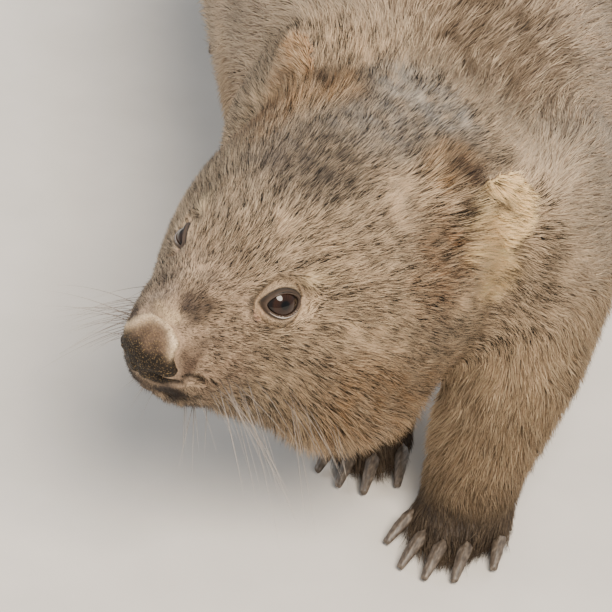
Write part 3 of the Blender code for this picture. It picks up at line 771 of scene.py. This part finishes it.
def make_skin():
    """One closed skin over all the flesh, inside it by the coat's depth, with what the coat needs."""
    bm = merged([*FLESH, "nose_pad"], 0.4)
    for side in (1, -1):
        bmesh.ops.create_uvsphere(bm, u_segments=24, v_segments=16, radius=(EYE_RADIUS + 1) * MM,
                                  matrix=moved_to(from_head(on_side(EYE_SEAT, side))))
    item = remeshed("skin", bm, 2.8)
    mesh = item.data
    points = ease(mesh, 3)

    table = np.array([[*sizes, *linear(colour)] for *sizes, colour in COAT.values()])
    labels = part_labels(points)
    fields = relax(mesh, np.hstack((table[labels], parts_lie()[labels])), 14)
    own_colour = [number for number, name in enumerate(FLESH) if "foot" in name or name in HEAD_PARTS]
    fields[:, BASE] = relax(mesh, fields[:, BASE], 240, held=np.isin(labels, own_colour))
    sole = 1 - smoothstep(1.0, 4.0, points[:, 2] / MM)
    ear_far = np.minimum(*(lengths(points - node_centre(name)) / MM for name in ("ear_left", "ear_right")))
    in_head = to_head(points)
    shallow = (0.35 + 0.65 * smoothstep(11, 24, eye_far(in_head))) * (0.3 + 0.7 * smoothstep(14, 34, ear_far))
    depth = fields[:, COAT_FIELDS.index("depth")] * (1 - sole) * shallow + 1.2 * bare_nose_share(in_head)
    points = relax(mesh, points - vectors_of(mesh, "normal") * depth[:, None] * MM, 2)
    points[:, 2] = np.where(sole > 0.5, np.maximum(points[:, 2], 0.2 * MM), points[:, 2])
    set_places(mesh, points)
    for column, name in enumerate(COAT_FIELDS[1:], 1):
        paint(mesh, name, fields[:, column])
    paint(mesh, "base", fields[:, BASE])
    paint(mesh, "lie", fields[:, LIE])
    paint(mesh, "label", labels)

    subdivide_near(item, lambda p: (p[:, 0] > 78) & (np.abs(p[:, 1]) < 60) & (np.abs(p[:, 2]) < 60))
    subdivide_near(item, lambda p: (eye_far(p) < 17) | ((p[:, 0] > 94) & (p[:, 2] < -12) & (p[:, 2] > -32)))
    subdivide_near(item, lambda p: eye_far(p) < 12.5)
    mesh = item.data
    places = to_head(ease(mesh, 3))
    found = folds_far(item, places)
    paint(mesh, "fold", np.min(found, axis=0))
    places = shape_folds(places, vectors_of(mesh, "normal") @ HEAD_AXES.T, found)
    set_places(mesh, from_head(shape_lids(shape_lids(places, 1), -1)))
    return item


def finish_skin(item, finish):
    """The skin's colours, with bare skin round the eyes, and its place in the frame."""
    mesh = item.data
    points = vectors_of(mesh, "co")
    in_head = to_head(points)
    paint(mesh, "colour_and_painted_light", lid_colours(in_head, markings_and_painted_shade(points, read(mesh, "base"), read(mesh, "fold"))))
    near_lids = 1 - smoothstep(LID_WIDTH, LID_WIDTH + 1, beyond_lids(in_head))
    paint(mesh, "bare", np.maximum(near_lids, 0.9 * bare_patch(in_head)))
    place_piece(item, finish, "fur", *FLESH)


# Coat
TUFT_SIDES = 3
# Rings of a tuft: a curved one bends in the middle, and a straight one rises to its tip
CURVED = 2
STRAIGHT = 1
# The most tufts in a piece, a tuft's size on the unwrap, and its root's depth and its lowest
# height over the floor in mm
PIECE_TUFTS = {CURVED: 19000, STRAIGHT: 26000}
PATCH = 0.003
ROOT_DEPTH = 0.5
LOWEST = 0.3
COAT_GROUPS = {
    "coat_face": ("muzzle", "lower_jaw"),
    **{"coat_" + name: (name,) for name in ("head", "neck", "chest", "belly", "rump", "tail")},
    **{f"coat_{end}leg_{word}": (f"{end}leg_{word}", f"{end}foot_{word}")
       for end in ("fore", "hind") for word in ("left", "right")},
}


def tuft_faces(rings):
    """A tuft's faces, as its points' numbers: one or two rings and a tip, closed at the root."""
    sides = range(TUFT_SIDES)
    after = [(k + 1) % TUFT_SIDES for k in sides]
    top, tip = (rings - 1) * TUFT_SIDES, rings * TUFT_SIDES
    quads = [(k, after[k], after[k] + TUFT_SIDES, k + TUFT_SIDES) for k in sides if rings > 1]
    spikes = [(top + k, top + after[k], tip) for k in sides]
    return quads + spikes + [tuple(reversed(sides))]


def tuft_patch(rings):
    """Where each face corner of a tuft lies in its patch, across the sides and along the hair."""
    strips = [(k / TUFT_SIDES, (k + 1) / TUFT_SIDES) for k in range(TUFT_SIDES)]
    places, start = [], 0.08
    if rings > 1:
        for left, right in strips:
            places += [(left, start), (right, start), (right, 0.5), (left, 0.5)]
        start = 0.5
    for left, right in strips:
        places += [(left, start), (right, start), ((left + right) / 2, 1.0)]
    places += [(1.0, 0.06), (0.5, 0.0), (0.0, 0.06)]
    return (np.array(places) - 0.5) * PATCH


def joined_tufts(name, coat, unwrap, rings):
    """One mesh of many tufts, from their roots, middles and tips, axes, widths and colours."""
    count = len(coat["root"])
    side, outward = coat["side"], coat["outward"]
    width = coat["width"][:, None] * MM
    tip_number = rings * TUFT_SIDES
    points = np.empty((count, tip_number + 1, 3))
    for k, (across, rise) in enumerate(((-0.5, 0.0), (0.5, 0.0), (0.0, 0.42))):
        spread = across * side + rise * outward
        points[:, k] = coat["root"] + width * spread - outward * ROOT_DEPTH * MM
        if rings > 1:
            points[:, TUFT_SIDES + k] = coat["middle"] + width * 0.72 * spread
    points[:, -1] = coat["tip"]
    points[:, :, 2] = np.maximum(points[:, :, 2], LOWEST * MM)

    faces = tuft_faces(rings)
    template = np.concatenate(faces)
    starts = np.concatenate(([0], np.cumsum([len(face) for face in faces])[:-1]))
    each = np.arange(count)[:, None]
    corner_points = (template[None, :] + (tip_number + 1) * each).ravel()
    starts = (starts[None, :] + len(template) * each).ravel()
    mesh = bpy.data.meshes.new(name)
    mesh.vertices.add(count * (tip_number + 1))
    mesh.vertices.foreach_set("co", points.astype(np.float32).ravel())
    mesh.loops.add(len(corner_points))
    mesh.loops.foreach_set("vertex_index", corner_points.astype(np.int32))
    mesh.polygons.add(len(starts))
    mesh.polygons.foreach_set("loop_start", starts.astype(np.int32))
    mesh.update(calc_edges=True)

    step = np.append(np.repeat(np.arange(rings) / rings, TUFT_SIDES), 1.0)
    paint(mesh, "along", np.tile(step, count))
    paint(mesh, "tone", np.repeat(coat["tone"], tip_number + 1))
    paint(mesh, "colour_and_painted_light", np.repeat(coat["colour_and_painted_light"], tip_number + 1, axis=0))
    places = (unwrap[:, None, :] + tuft_patch(rings)[None, :, :]).reshape(-1, 2)
    mesh.uv_layers.new(name="OFBake").data.foreach_set("uv", places.astype(np.float32).ravel())
    return link(name, mesh)


def scatter(mesh, spacing, seed):
    """Roots spread evenly over a mesh: triangles' corners, their weights, and places."""
    draw = np.random.default_rng(seed)
    mesh.calc_loop_triangles()
    corners = np.empty(len(mesh.loop_triangles) * 3, np.int64)
    mesh.loop_triangles.foreach_get("vertices", corners)
    corners = corners.reshape(-1, 3)
    points = vectors_of(mesh, "co")
    a, b, c = (points[corners[:, k]] for k in range(3))
    area = lengths(np.cross(b - a, c - a)) / 2 / MM ** 2
    apart = spacing[corners].mean(axis=1)
    chosen = np.repeat(np.arange(len(corners)), draw.poisson(2.6 * area / apart ** 2))
    weights = draw.dirichlet((1, 1, 1), len(chosen))
    corners = corners[chosen]
    places = np.einsum("nk,nkd->nd", weights, points[corners])
    levels = np.round(np.log(apart[chosen]) * 8) / 8
    cells = cells_of(places, (np.exp(levels) * 1.16 * MM)[:, None], 14, seed, 0.5)
    _, kept = np.unique(cells * 64 + (levels * 8).astype(np.int64), return_index=True)
    kept = draw.permutation(kept)
    return corners[kept], weights[kept], places[kept]


def at_roots(values, corners, weights):
    """A field of the mesh at the roots."""
    picked = values[corners]
    return (picked * weights).sum(axis=1) if picked.ndim == 2 else np.einsum("nk,nkd->nd", weights, picked)


def lay_coat(places, outward, lie, length, width, lift, seed):
    """Each tuft's axes and bend: it rises from the skin, leans along the lie and draws to a lock."""
    draw = np.random.default_rng(seed)
    count = len(places)
    lie = unit(lie - outward * (lie * outward).sum(axis=1, keepdims=True))
    across = np.cross(outward, lie)
    turn = np.radians(11 * ripple(places, 26, seed + 1) + 9 * ripple(places, 7, seed + 2)
                      + draw.normal(0, 10, count))[:, None]
    lie = lie * np.cos(turn) + across * np.sin(turn)
    across = np.cross(outward, lie)
    length = length * draw.uniform(0.72, 1.22, count)
    angle = np.radians(np.clip(lift * draw.uniform(0.6, 1.5, count), 4, 60))[:, None]
    steep, low = angle * 1.45, angle * 0.62
    reach = length[:, None] * MM
    sway = draw.normal(0, CURL, count)[:, None]
    middle = places + 0.5 * reach * (lie * np.cos(steep) + outward * np.sin(steep))
    tip = middle + 0.5 * reach * (lie * np.cos(low) + outward * np.sin(low) + across * sway * 2)
    cells = cells_of(places, width.mean() * MM * LOCK_WIDTHS, 30, seed + 5, 0.8)
    _, member = np.unique(cells, return_inverse=True)
    size = np.bincount(member)
    centre = np.stack([np.bincount(member, tip[:, k]) / size for k in range(3)], axis=1)[member]
    drawn = CLUMP * draw.uniform(0.3, 1.0, count)[:, None]
    tip = tip + drawn * (centre - tip) * 0.8
    middle = middle + 0.3 * drawn * (centre - tip)
    return {
        "root": places, "side": across, "outward": outward, "middle": middle, "tip": tip,
        "width": width * draw.uniform(0.8, 1.25, count),
        "tone": np.clip(draw.uniform(0, 1, count) + 0.10 * ripple(places, 4, seed + 9), 0, 1),
    }


def cylinder_unwrap(places, pole, forward, left):
    """Angle round an axis, and the way along it that also counts the ring's radius, for the
    rounded end that the axis points at."""
    offset = places - pole
    up = np.cross(forward, left)
    along, side, rise = offset @ forward, offset @ left, offset @ up
    return np.stack((np.arctan2(side, -rise), along - np.hypot(side, rise)), axis=1)


def group_unwrap(name, places):
    """The unwrap of a group's own shape: round the head, the spine or the leg."""
    if name in ("coat_face", "coat_head"):
        return cylinder_unwrap(places, HEAD_ORIGIN, HEAD_AXES[0], HEAD_AXES[1])
    axis = -BACKWARD if name in ("coat_chest", "coat_neck") else BACKWARD
    if "leg" in name:
        axis = np.array((0, 0, -1.0))
    return cylinder_unwrap(places, places.mean(axis=0), axis, TO_LEFT)


def coat_pieces(name, coat, unwrap, rings, finish, slot):
    """Pieces of coat small enough for the export, cut along the unwrap's length, each with its
    part of the unwrap in the unit square, clear of its edge."""
    count = math.ceil(len(coat["root"]) / PIECE_TUFTS[rings])
    order = np.argsort(unwrap[:, 1], kind="stable")
    for number, chosen in enumerate(np.array_split(order, count)):
        label = name if count == 1 else f"{name}_{number + 1}"
        low, high = unwrap[chosen].min(axis=0), unwrap[chosen].max(axis=0)
        fitted = 0.004 + 0.992 * (unwrap[chosen] - low) / np.maximum(high - low, 1e-9)
        item = joined_tufts(label, {key: value[chosen] for key, value in coat.items()}, fitted, rings)
        place_piece(item, finish, slot)


def growth(places, in_head, beyond):
    """How the hair grows at each root, as shares: short by the eyes and the nose, shaggy under the
    jaw, ruffed and fringed round the ears, and long over the claws."""
    nose_far = lengths((in_head - NOSE_SEAT) / (11.5, 13.4, 14.8))
    short = (0.22 + 0.78 * smoothstep(1.5, 9, beyond)) * (0.5 + 0.5 * smoothstep(1.0, 1.6, nose_far))
    corner, fringe, ruff = (
        either_side(lambda p: ellipsoid_share(p, centre, radii), in_head) for centre, radii in
        (((109, 18, 18), (6, 5, 7)), ((20, 43, 36), (9, 9, 14)), ((26, 34, 55), (16, 15, 13))))
    shaggy = smoothstep(-18, -38, in_head[:, 2]) * smoothstep(-10, 15, in_head[:, 0])
    shaggy = shaggy * (1 - smoothstep(96, 108, in_head[:, 0]))
    claws = [node_centre(name) for name in NODES if "claw" in name]
    toes = 1 - smoothstep(7, 15, np.min([lengths(places - claw) for claw in claws], axis=0) / MM)
    return short * (1 - 0.55 * corner), shaggy, ruff, fringe, toes


def grow_coat(skin, finish):
    """The coat over the whole skin, except on the nose, the lids and the soles."""
    mesh = skin.data
    at_skin = to_head(vectors_of(mesh, "co"))
    closer = 0.66 + 0.34 * smoothstep(2, 9, beyond_lids(at_skin))
    corners, weights, places = scatter(mesh, read(mesh, "spacing") * closer, SEED)
    in_head = to_head(places)
    beyond = beyond_lids(in_head)
    fold_far = at_roots(read(mesh, "fold"), corners, weights)
    bare = (beyond < LID_WIDTH + 0.1) | (bare_nose_share(in_head) > 0.5) | (places[:, 2] < 2.5 * MM)
    bare |= fold_far < 0.8
    bare |= np.random.default_rng(SEED + 3).uniform(size=len(places)) > 1 - bare_patch(in_head)
    corners, weights, places, in_head, beyond, fold_far = (
        values[~bare] for values in (corners, weights, places, in_head, beyond, fold_far))

    def field(name):
        return at_roots(read(mesh, name), corners, weights)

    lie = field("lie")
    for side in (1, -1):
        offset = in_head - on_side(EYE_SEAT, side)
        lie = lie + 0.9 * bell(lengths(offset), 15)[:, None] * (unit(offset) @ HEAD_AXES)
    short, shaggy, ruff, fringe, toes = growth(places, in_head, beyond)
    lie = lie + 0.5 * ruff[:, None] * HEAD_AXES[2] - 0.45 * shaggy[:, None] * HEAD_AXES[2]
    length = field("length") * short * (1 + 1.2 * shaggy + 1.1 * ruff + 1.1 * fringe + 1.5 * toes)
    width = field("width") * (0.7 + 0.3 * short)
    lift = field("lift") * (1 + 0.8 * shaggy + 2.0 * ruff + 0.9 * fringe)
    outward = unit(at_roots(vectors_of(mesh, "normal"), corners, weights))
    coat = lay_coat(places, outward, lie, length, width, lift, SEED + 7)
    # Short fur is painted darker, painted shade in place of the shade that longer fur casts on itself
    colour_and_painted_light = markings_and_painted_shade(places, field("base"), fold_far) * (0.70 + 0.30 * short)[:, None]
    coat["colour_and_painted_light"] = lid_colours(in_head, colour_and_painted_light)
    light = smoothstep(0.50, 0.72, coat["colour_and_painted_light"].mean(axis=1))
    coat["tone"] = coat["tone"] * (1 - 0.5 * light) + 0.5 * light
    part = np.array(FLESH)[read(mesh, "label")[corners[:, 0]].round().astype(int)]
    coat["tone"] = np.where(np.isin(part, HEAD_PARTS), coat["tone"], 0.36 + 0.64 * coat["tone"])
    for name, members in COAT_GROUPS.items():
        group = {key: value[np.isin(part, members)] for key, value in coat.items()}
        rings = CURVED if name == "coat_tail" else STRAIGHT
        coat_pieces(name, group, group_unwrap(name, group["root"]), rings, finish,
                    "fur_dark" if "leg" in name else "fur")


def cover(item, name, sizes, hair, colour, pole, finish, slot, share=None):
    """Short fur over a small piece. sizes are its spacing and width in mm and its lift in degrees,
    hair gives each tuft's lie in the head's frame and its length, and share how many grow."""
    mesh = item.data
    spacing, width, lift = sizes
    corners, weights, roots = scatter(mesh, np.full(len(mesh.vertices), spacing), SEED + len(name))
    if share is not None:
        grown = np.random.default_rng(SEED + 61).uniform(size=len(roots)) < at_roots(share, corners, weights)
        corners, weights, roots = corners[grown], weights[grown], roots[grown]
    outward = unit(at_roots(vectors_of(mesh, "normal"), corners, weights))
    lie, length = hair(roots, corners, weights)
    same = np.ones(len(roots))
    coat = lay_coat(roots, outward, lie @ HEAD_AXES, length, width * same, lift * same, SEED + 41)
    coat["colour_and_painted_light"] = at_roots(colour, corners, weights) * (1 + 0.08 * ripple(roots, 6, 44)[:, None])
    coat["tone"] = 0.22 + 0.78 * coat["tone"]
    unwrap = cylinder_unwrap(roots, roots.mean(axis=0), pole @ HEAD_AXES, HEAD_AXES[1])
    coat_pieces(name, coat, unwrap, STRAIGHT, finish, slot)


# Eyes
def make_eye(side, word, finish):
    """An eyeball with a cornea that stands a little proud over the iris."""
    faces = unit(on_side(PUPIL_FACES, side)) @ HEAD_AXES
    pole = Vector((0, 0, 1))
    turn = pole.rotation_difference(Vector(faces)).to_matrix().to_4x4()
    bm = bmesh.new()
    bmesh.ops.create_uvsphere(bm, u_segments=64, v_segments=48, radius=EYE_RADIUS * MM)
    angles = np.array([vertex.co.angle(pole) for vertex in bm.verts])
    around = np.array([math.atan2(vertex.co.y, vertex.co.x) for vertex in bm.verts])
    for vertex, angle in zip(bm.verts, angles):
        vertex.co *= 1 + 0.05 * max(0.0, 1 - angle / CORNEA_ANGLE) ** 1.2
    seat = moved_to(from_head(on_side(EYE_SEAT, side)))
    bmesh.ops.transform(bm, matrix=seat @ turn, verts=bm.verts)
    item = link_bmesh("eyeball_" + word, bm)
    paint(item.data, "angle", angles / (math.pi / 2))
    paint(item.data, "fibre", 0.5 + 0.3 * np.sin(around * 23) + 0.2 * np.sin(around * 57 + 1))
    place_piece(item, finish, "eye", "eye_" + word)


def make_lid_rim(side, word, finish):
    """The hairless edge of the lids: a thin rounded rim that lies on the eyeball."""
    name = "lid_rim_" + word
    centre, outward, lengthwise, upward = eye_axes(side)
    curve = bpy.data.curves.new(name, "CURVE")
    curve.dimensions = "3D"
    curve.bevel_depth = RIM_RADIUS * MM
    curve.bevel_resolution = 3
    spline = curve.splines.new("POLY")
    spline.use_cyclic_u = True
    angles = np.linspace(0, 2 * np.pi, 72, endpoint=False)
    spline.points.add(len(angles) - 1)
    for point, angle in zip(spline.points, angles):
        along, up = math.cos(angle), math.sin(angle)
        reach = float(opening_reach(np.array(along), np.array(up), side)) + 0.15
        out = math.sqrt((EYE_RADIUS + 0.55) ** 2 - reach ** 2)
        place = centre + lengthwise * along * reach + upward * up * reach + outward * out
        point.co = (*from_head(place), 1)
        point.radius = 0.85 + 0.3 * abs(up)
    line = link(name, curve)
    mesh = evaluated_mesh(line)
    bpy.data.objects.remove(line)
    _, up, _, _ = before_eye(to_head(vectors_of(mesh, "co")), side)
    # Painted shade on the rim's upper half and a pale painted highlight on its wet lower edge
    upper = smoothstep(-1.8, -0.4, up)[:, None]
    paint(mesh, "colour_and_painted_light", linear(CREASE_SHADE_OVER_LID) * upper + linear(RIM_HIGHLIGHT_COLOUR) * (1 - upper) * RIM_HIGHLIGHT_SHARE[side])
    place_piece(link(name, mesh), finish, "nose")


# Nose
def make_nose(finish, coat_finish):
    """The bare nose: a pale arched ridge, two comma nostrils, a cleft and a dark lower pad."""
    item = remeshed("nose_leather", merged(["nose_pad"], 0.3), 0.75)
    mesh = item.data
    points = ease(mesh, 6)
    places, out = to_head(points), vectors_of(mesh, "normal") @ HEAD_AXES.T
    shelf = np.array(NOSTRIL) * (1, 1.02, 1) + (0.5, 0, 2.8)
    ridge = bell(distance_to_path(places, NOSE_RIDGE), 2.0)
    cleft = bell(distance_to_path(places, CLEFT), 0.9)
    nostril = either_side(lambda p: bell(distance_to_path(p, NOSTRIL), 1.5), places)
    wing = either_side(lambda p: bell(distance_to_path(p, shelf), 1.8), places)
    dip = bell(lengths((places - (140, 0, 4)) / (5, 6, 4.5)), 1)
    bright = 0.45 + 0.55 * bell(lengths(places - (135.5, 6.0, 7.5)), 6.5)
    bare = bare_nose_share(places)
    height = 1.3 * ridge - 0.7 * cleft - 4.2 * nostril + 0.8 * wing - 0.9 * dip
    height = height + 0.16 * ripple(points, 2.6, 71) - 2.8 * (1 - bare)
    places = places + out * height[:, None]
    set_places(mesh, from_head(places))
    # The nose's colour, greyish brown above and near black towards the bottom
    lower = smoothstep(6.5, -3.0, places[:, 2] + 1.6 * ripple(points, 7, 72))[:, None]
    colour = linear(NOSE_UPPER) * (1 - lower) + linear(NOSE_DARK) * lower
    pale = np.clip(ridge * 1.3 * bright, 0, 1) * smoothstep(-6, 1, places[:, 2])
    # The nostrils are painted darker, painted shade in their grooves
    colour = tinted(colour, NOSE_PALE, pale) * (1 - 0.8 * nostril[:, None])
    colour = colour * (1 + 0.12 * ripple(points, 5, 73)[:, None])
    paint(mesh, "colour_and_painted_light", colour)
    place_piece(item, finish, "nose", "nose_pad")

    def hair(roots, corners, weights):
        return np.tile((-1.0, 0.0, 0.1), (len(roots), 1)), np.full(len(roots), 1.5)

    near_edge = bare * (1 - smoothstep(0.0, 3.2, edge_of_bare_nose(places))) * smoothstep(-4, 0, places[:, 2])
    cover(item, "coat_nose", (0.42, 0.2, 14), hair, colour, np.array((1.0, 0, 0)), coat_finish, "fur",
          share=near_edge)


# Ears
def make_ear(side, word, skin_finish, coat_finish):
    """A thin cupped ear and its own short coat: cream in front, painted shade in the hollow, brown behind."""
    name = "ear_" + word
    item = remeshed(name + "_shell", merged([name], -0.9), 1.0)
    mesh = item.data
    places = to_head(ease(mesh, 4))
    outward = vectors_of(mesh, "normal") @ HEAD_AXES.T
    heart = to_head(node_centre(name))
    hair_lies = unit(on_side(EAR_HAIR_LIES, side))
    front = unit(outward) @ unit(on_side(EAR_OPENS, side))
    offset = places - on_side(EAR_HOLLOW_AT, side)
    sideways = offset @ hair_lies
    reach = np.hypot(sideways / 6.5, lengths(offset - sideways[:, None] * hair_lies) / 3.6)
    colour = np.tile(linear(EAR_BACK), (len(places), 1))
    colour = tinted(colour, EAR_RIM, smoothstep(-0.5, -0.1, front))
    colour = tinted(colour, EAR_CREAM[side], smoothstep(0.0, 0.45, front))
    # Painted shade in the hollow of the ear
    colour = tinted(colour, SHADE_IN_EAR_HOLLOW, smoothstep(-0.1, 0.3, front) * np.exp(-reach ** 4))
    paint(mesh, "colour_and_painted_light", colour)
    paint(mesh, "bare", np.full(len(places), 0.25))
    place_piece(item, skin_finish, "fur_pale", name)

    rising = unit(np.array((-0.35, 0.25 * side, 1.0)))

    def hair(roots, corners, weights):
        share = smoothstep(-0.2, 0.4, at_roots(front, corners, weights))[:, None]
        past_middle = (to_head(roots) - heart) @ hair_lies
        length = 3.8 + 4.2 * share[:, 0] * (1 - smoothstep(-4, 6, past_middle))
        return rising * (1 - share) + hair_lies * share, length

    cover(item, "coat_" + name, (0.54, 0.32, 21), hair, colour, rising, coat_finish, "fur_pale")


# Whiskers: sides, rings, radius in mm, and how much they narrow and droop
BRISTLE_SIDES = 5
BRISTLE_RINGS = 8
BRISTLE_RADIUS = 0.15
BRISTLE_TAPER = 0.9
BRISTLE_DROOP = 0.22
# Where they grow in the head's frame, the way they point, and their length in mm
WHISKERS = (
    ((118, 19, -8), (0.15, 0.88, -0.25), 34), ((113, 20, -10), (0.1, 0.85, -0.45), 40),
    ((108, 21, -12), (0.05, 0.82, -0.5), 44), ((115, 18.5, -14), (0.15, 0.8, -0.6), 30),
    ((110, 20, -15), (0.1, 0.8, -0.62), 36), ((104, 22, -16), (0.0, 0.8, -0.55), 38),
    ((120, 17, -12), (0.2, 0.85, -0.4), 26), ((100, 24, -14), (-0.05, 0.8, -0.5), 36),
    ((86, 32, -20), (0.0, 0.78, -0.62), 34), ((82, 33, -22), (-0.05, 0.76, -0.62), 36),
    ((78, 34, -25), (-0.1, 0.72, -0.66), 30), ((112, 12, -30), (0.1, 0.5, -0.85), 20),
    ((106, 10, -33), (0.0, 0.4, -0.9), 20), ((64, 40, -30), (-0.1, 0.7, -0.7), 24),
)
WHISKERS_PER_PLACE = 3


def bristle(bm, root, heading, length):
    """One bristle: a small disc extruded along a drooping line and narrowed to its tip."""
    side = unit(np.cross(heading, (0, 0, 1)))
    turn = Matrix((side, np.cross(side, heading), heading)).transposed().to_4x4()
    centre = Vector(root - heading * MM)
    disc = bmesh.ops.create_circle(bm, cap_ends=True, segments=BRISTLE_SIDES, radius=BRISTLE_RADIUS * MM,
                                   matrix=moved_to(centre) @ turn)
    face = disc["verts"][0].link_faces[0]
    for number in range(1, BRISTLE_RINGS + 1):
        t, before = number / BRISTLE_RINGS, (number - 1) / BRISTLE_RINGS
        target = Vector(root + heading * length * t + np.array((0, 0, -BRISTLE_DROOP)) * length * t * t)
        made = bmesh.ops.extrude_face_region(bm, geom=[face])["geom"]
        if number > 1:
            bmesh.ops.delete(bm, geom=[face], context="FACES_ONLY")
        face = next(part for part in made if isinstance(part, bmesh.types.BMFace))
        scale = (1 - t * BRISTLE_TAPER) / (1 - before * BRISTLE_TAPER)
        for vertex in face.verts:
            vertex.co = target + (vertex.co - centre) * scale
        centre = target


def make_whiskers(skin, finish):
    """Long bristles of the lips, cheeks and chin, each a thin tapering curved spike."""
    surface = surface_of(skin)
    draw = np.random.default_rng(SEED + 51)
    bm = bmesh.new()
    for place, direction, length in WHISKERS:
        for side in (1, -1):
            for _ in range(WHISKERS_PER_PLACE):
                start = from_head(on_side(place, side) + draw.normal(0, 2.2, 3))
                root = np.array(surface.find_nearest(Vector(start))[0])
                heading = unit(on_side(direction, side) + draw.normal(0, 0.16, 3)) @ HEAD_AXES
                bristle(bm, root, heading, length * draw.uniform(0.6, 1.3) * MM)
    item = link_bmesh("whiskers", bm)
    steps = np.repeat(np.arange(BRISTLE_RINGS + 1) / BRISTLE_RINGS, BRISTLE_SIDES)
    paint(item.data, "along", np.tile(steps, len(WHISKERS) * 2 * WHISKERS_PER_PLACE))
    place_piece(item, finish, "fur_pale")


# Claws
def make_claws(finish):
    """Each claw from its solid, rounded."""
    for name in sorted(name for name in NODES if "claw" in name):
        item = remeshed(name.replace("claw", "_claw"), merged([name], 0.6), 0.55)
        ease(item.data, 6)
        place_piece(item, finish, "claw", name)


# Setting
def make_floor():
    """A plain pale floor."""
    bm = bmesh.new()
    bmesh.ops.create_grid(bm, x_segments=1, y_segments=1, size=6)
    item = link_bmesh("floor", bm)
    item.data.materials.append(pale_plaster())


def soft_light(name, place, size, power, colour):
    """A large area light aimed at the model."""
    lamp = bpy.data.lights.new(name, "AREA")
    lamp.shape = "DISK"
    lamp.size = size
    lamp.energy = power
    lamp.color = linear(colour)
    item = link(name, lamp)
    item.location = place
    item.rotation_euler = (Vector((0, 0, 0.12)) - Vector(place)).to_track_quat("-Z", "Y").to_euler()


def make_lights():
    world = bpy.data.worlds.new("studio")
    bpy.context.scene.world = world
    world.use_nodes = True
    background = world.node_tree.nodes["Background"]
    background.inputs["Color"].default_value = (*linear("#eef1f5"), 1)
    background.inputs["Strength"].default_value = 0.68
    soft_light("key", (0.9, -1.3, 1.9), 1.15, 108, "#fff2e2")
    soft_light("fill", (-1.5, -0.8, 1.2), 1.6, 20, "#f0f4fa")
    soft_light("back", (0.3, 1.6, 1.4), 1.4, 20, "#f6f8fb")


def make_camera():
    """The camera where the head is seen as the photograph sees it."""
    turned, _, straight = np.linalg.svd(np.array((SEEN_FORWARD, SEEN_LEFT, SEEN_UP)))
    seen = turned @ straight
    offset = seen @ (np.array((0, 0, CAMERA_DISTANCE)) - (*AIM_SEEN_AT, 0))
    place = from_head(np.array(AIM_IN_HEAD) + offset)
    camera = bpy.data.cameras.new("camera")
    camera.sensor_width = SENSOR
    camera.lens = FOCAL_PIXELS / FRAME_PIXELS * SENSOR
    camera.clip_end = 20
    item = link("camera", camera)
    turn = Matrix((seen.T @ HEAD_AXES).tolist()).transposed()
    item.matrix_world = moved_to(place) @ turn.to_4x4()
    bpy.context.scene.camera = item


def main():
    make_floor()
    make_lights()
    make_camera()
    coat_finish = agouti_coat("agouti_fur", 0.26, 0.66, 1.0, 0.62)
    ear_finish = agouti_coat("short_ear_fur", 0.76, 0.97, 1.0, 0.6)
    skin_finish, eye_finish, lid_finish = under_coat(), wet_eye(), bare_lid()
    skin = make_skin()
    finish_skin(skin, skin_finish)
    grow_coat(skin, coat_finish)
    for side, word in ((1, "left"), (-1, "right")):
        make_eye(side, word, eye_finish)
        make_lid_rim(side, word, lid_finish)
        make_ear(side, word, skin_finish, ear_finish)
    make_nose(bare_nose(), coat_finish)
    make_whiskers(skin, stiff_whisker())
    make_claws(worn_horn())


main()
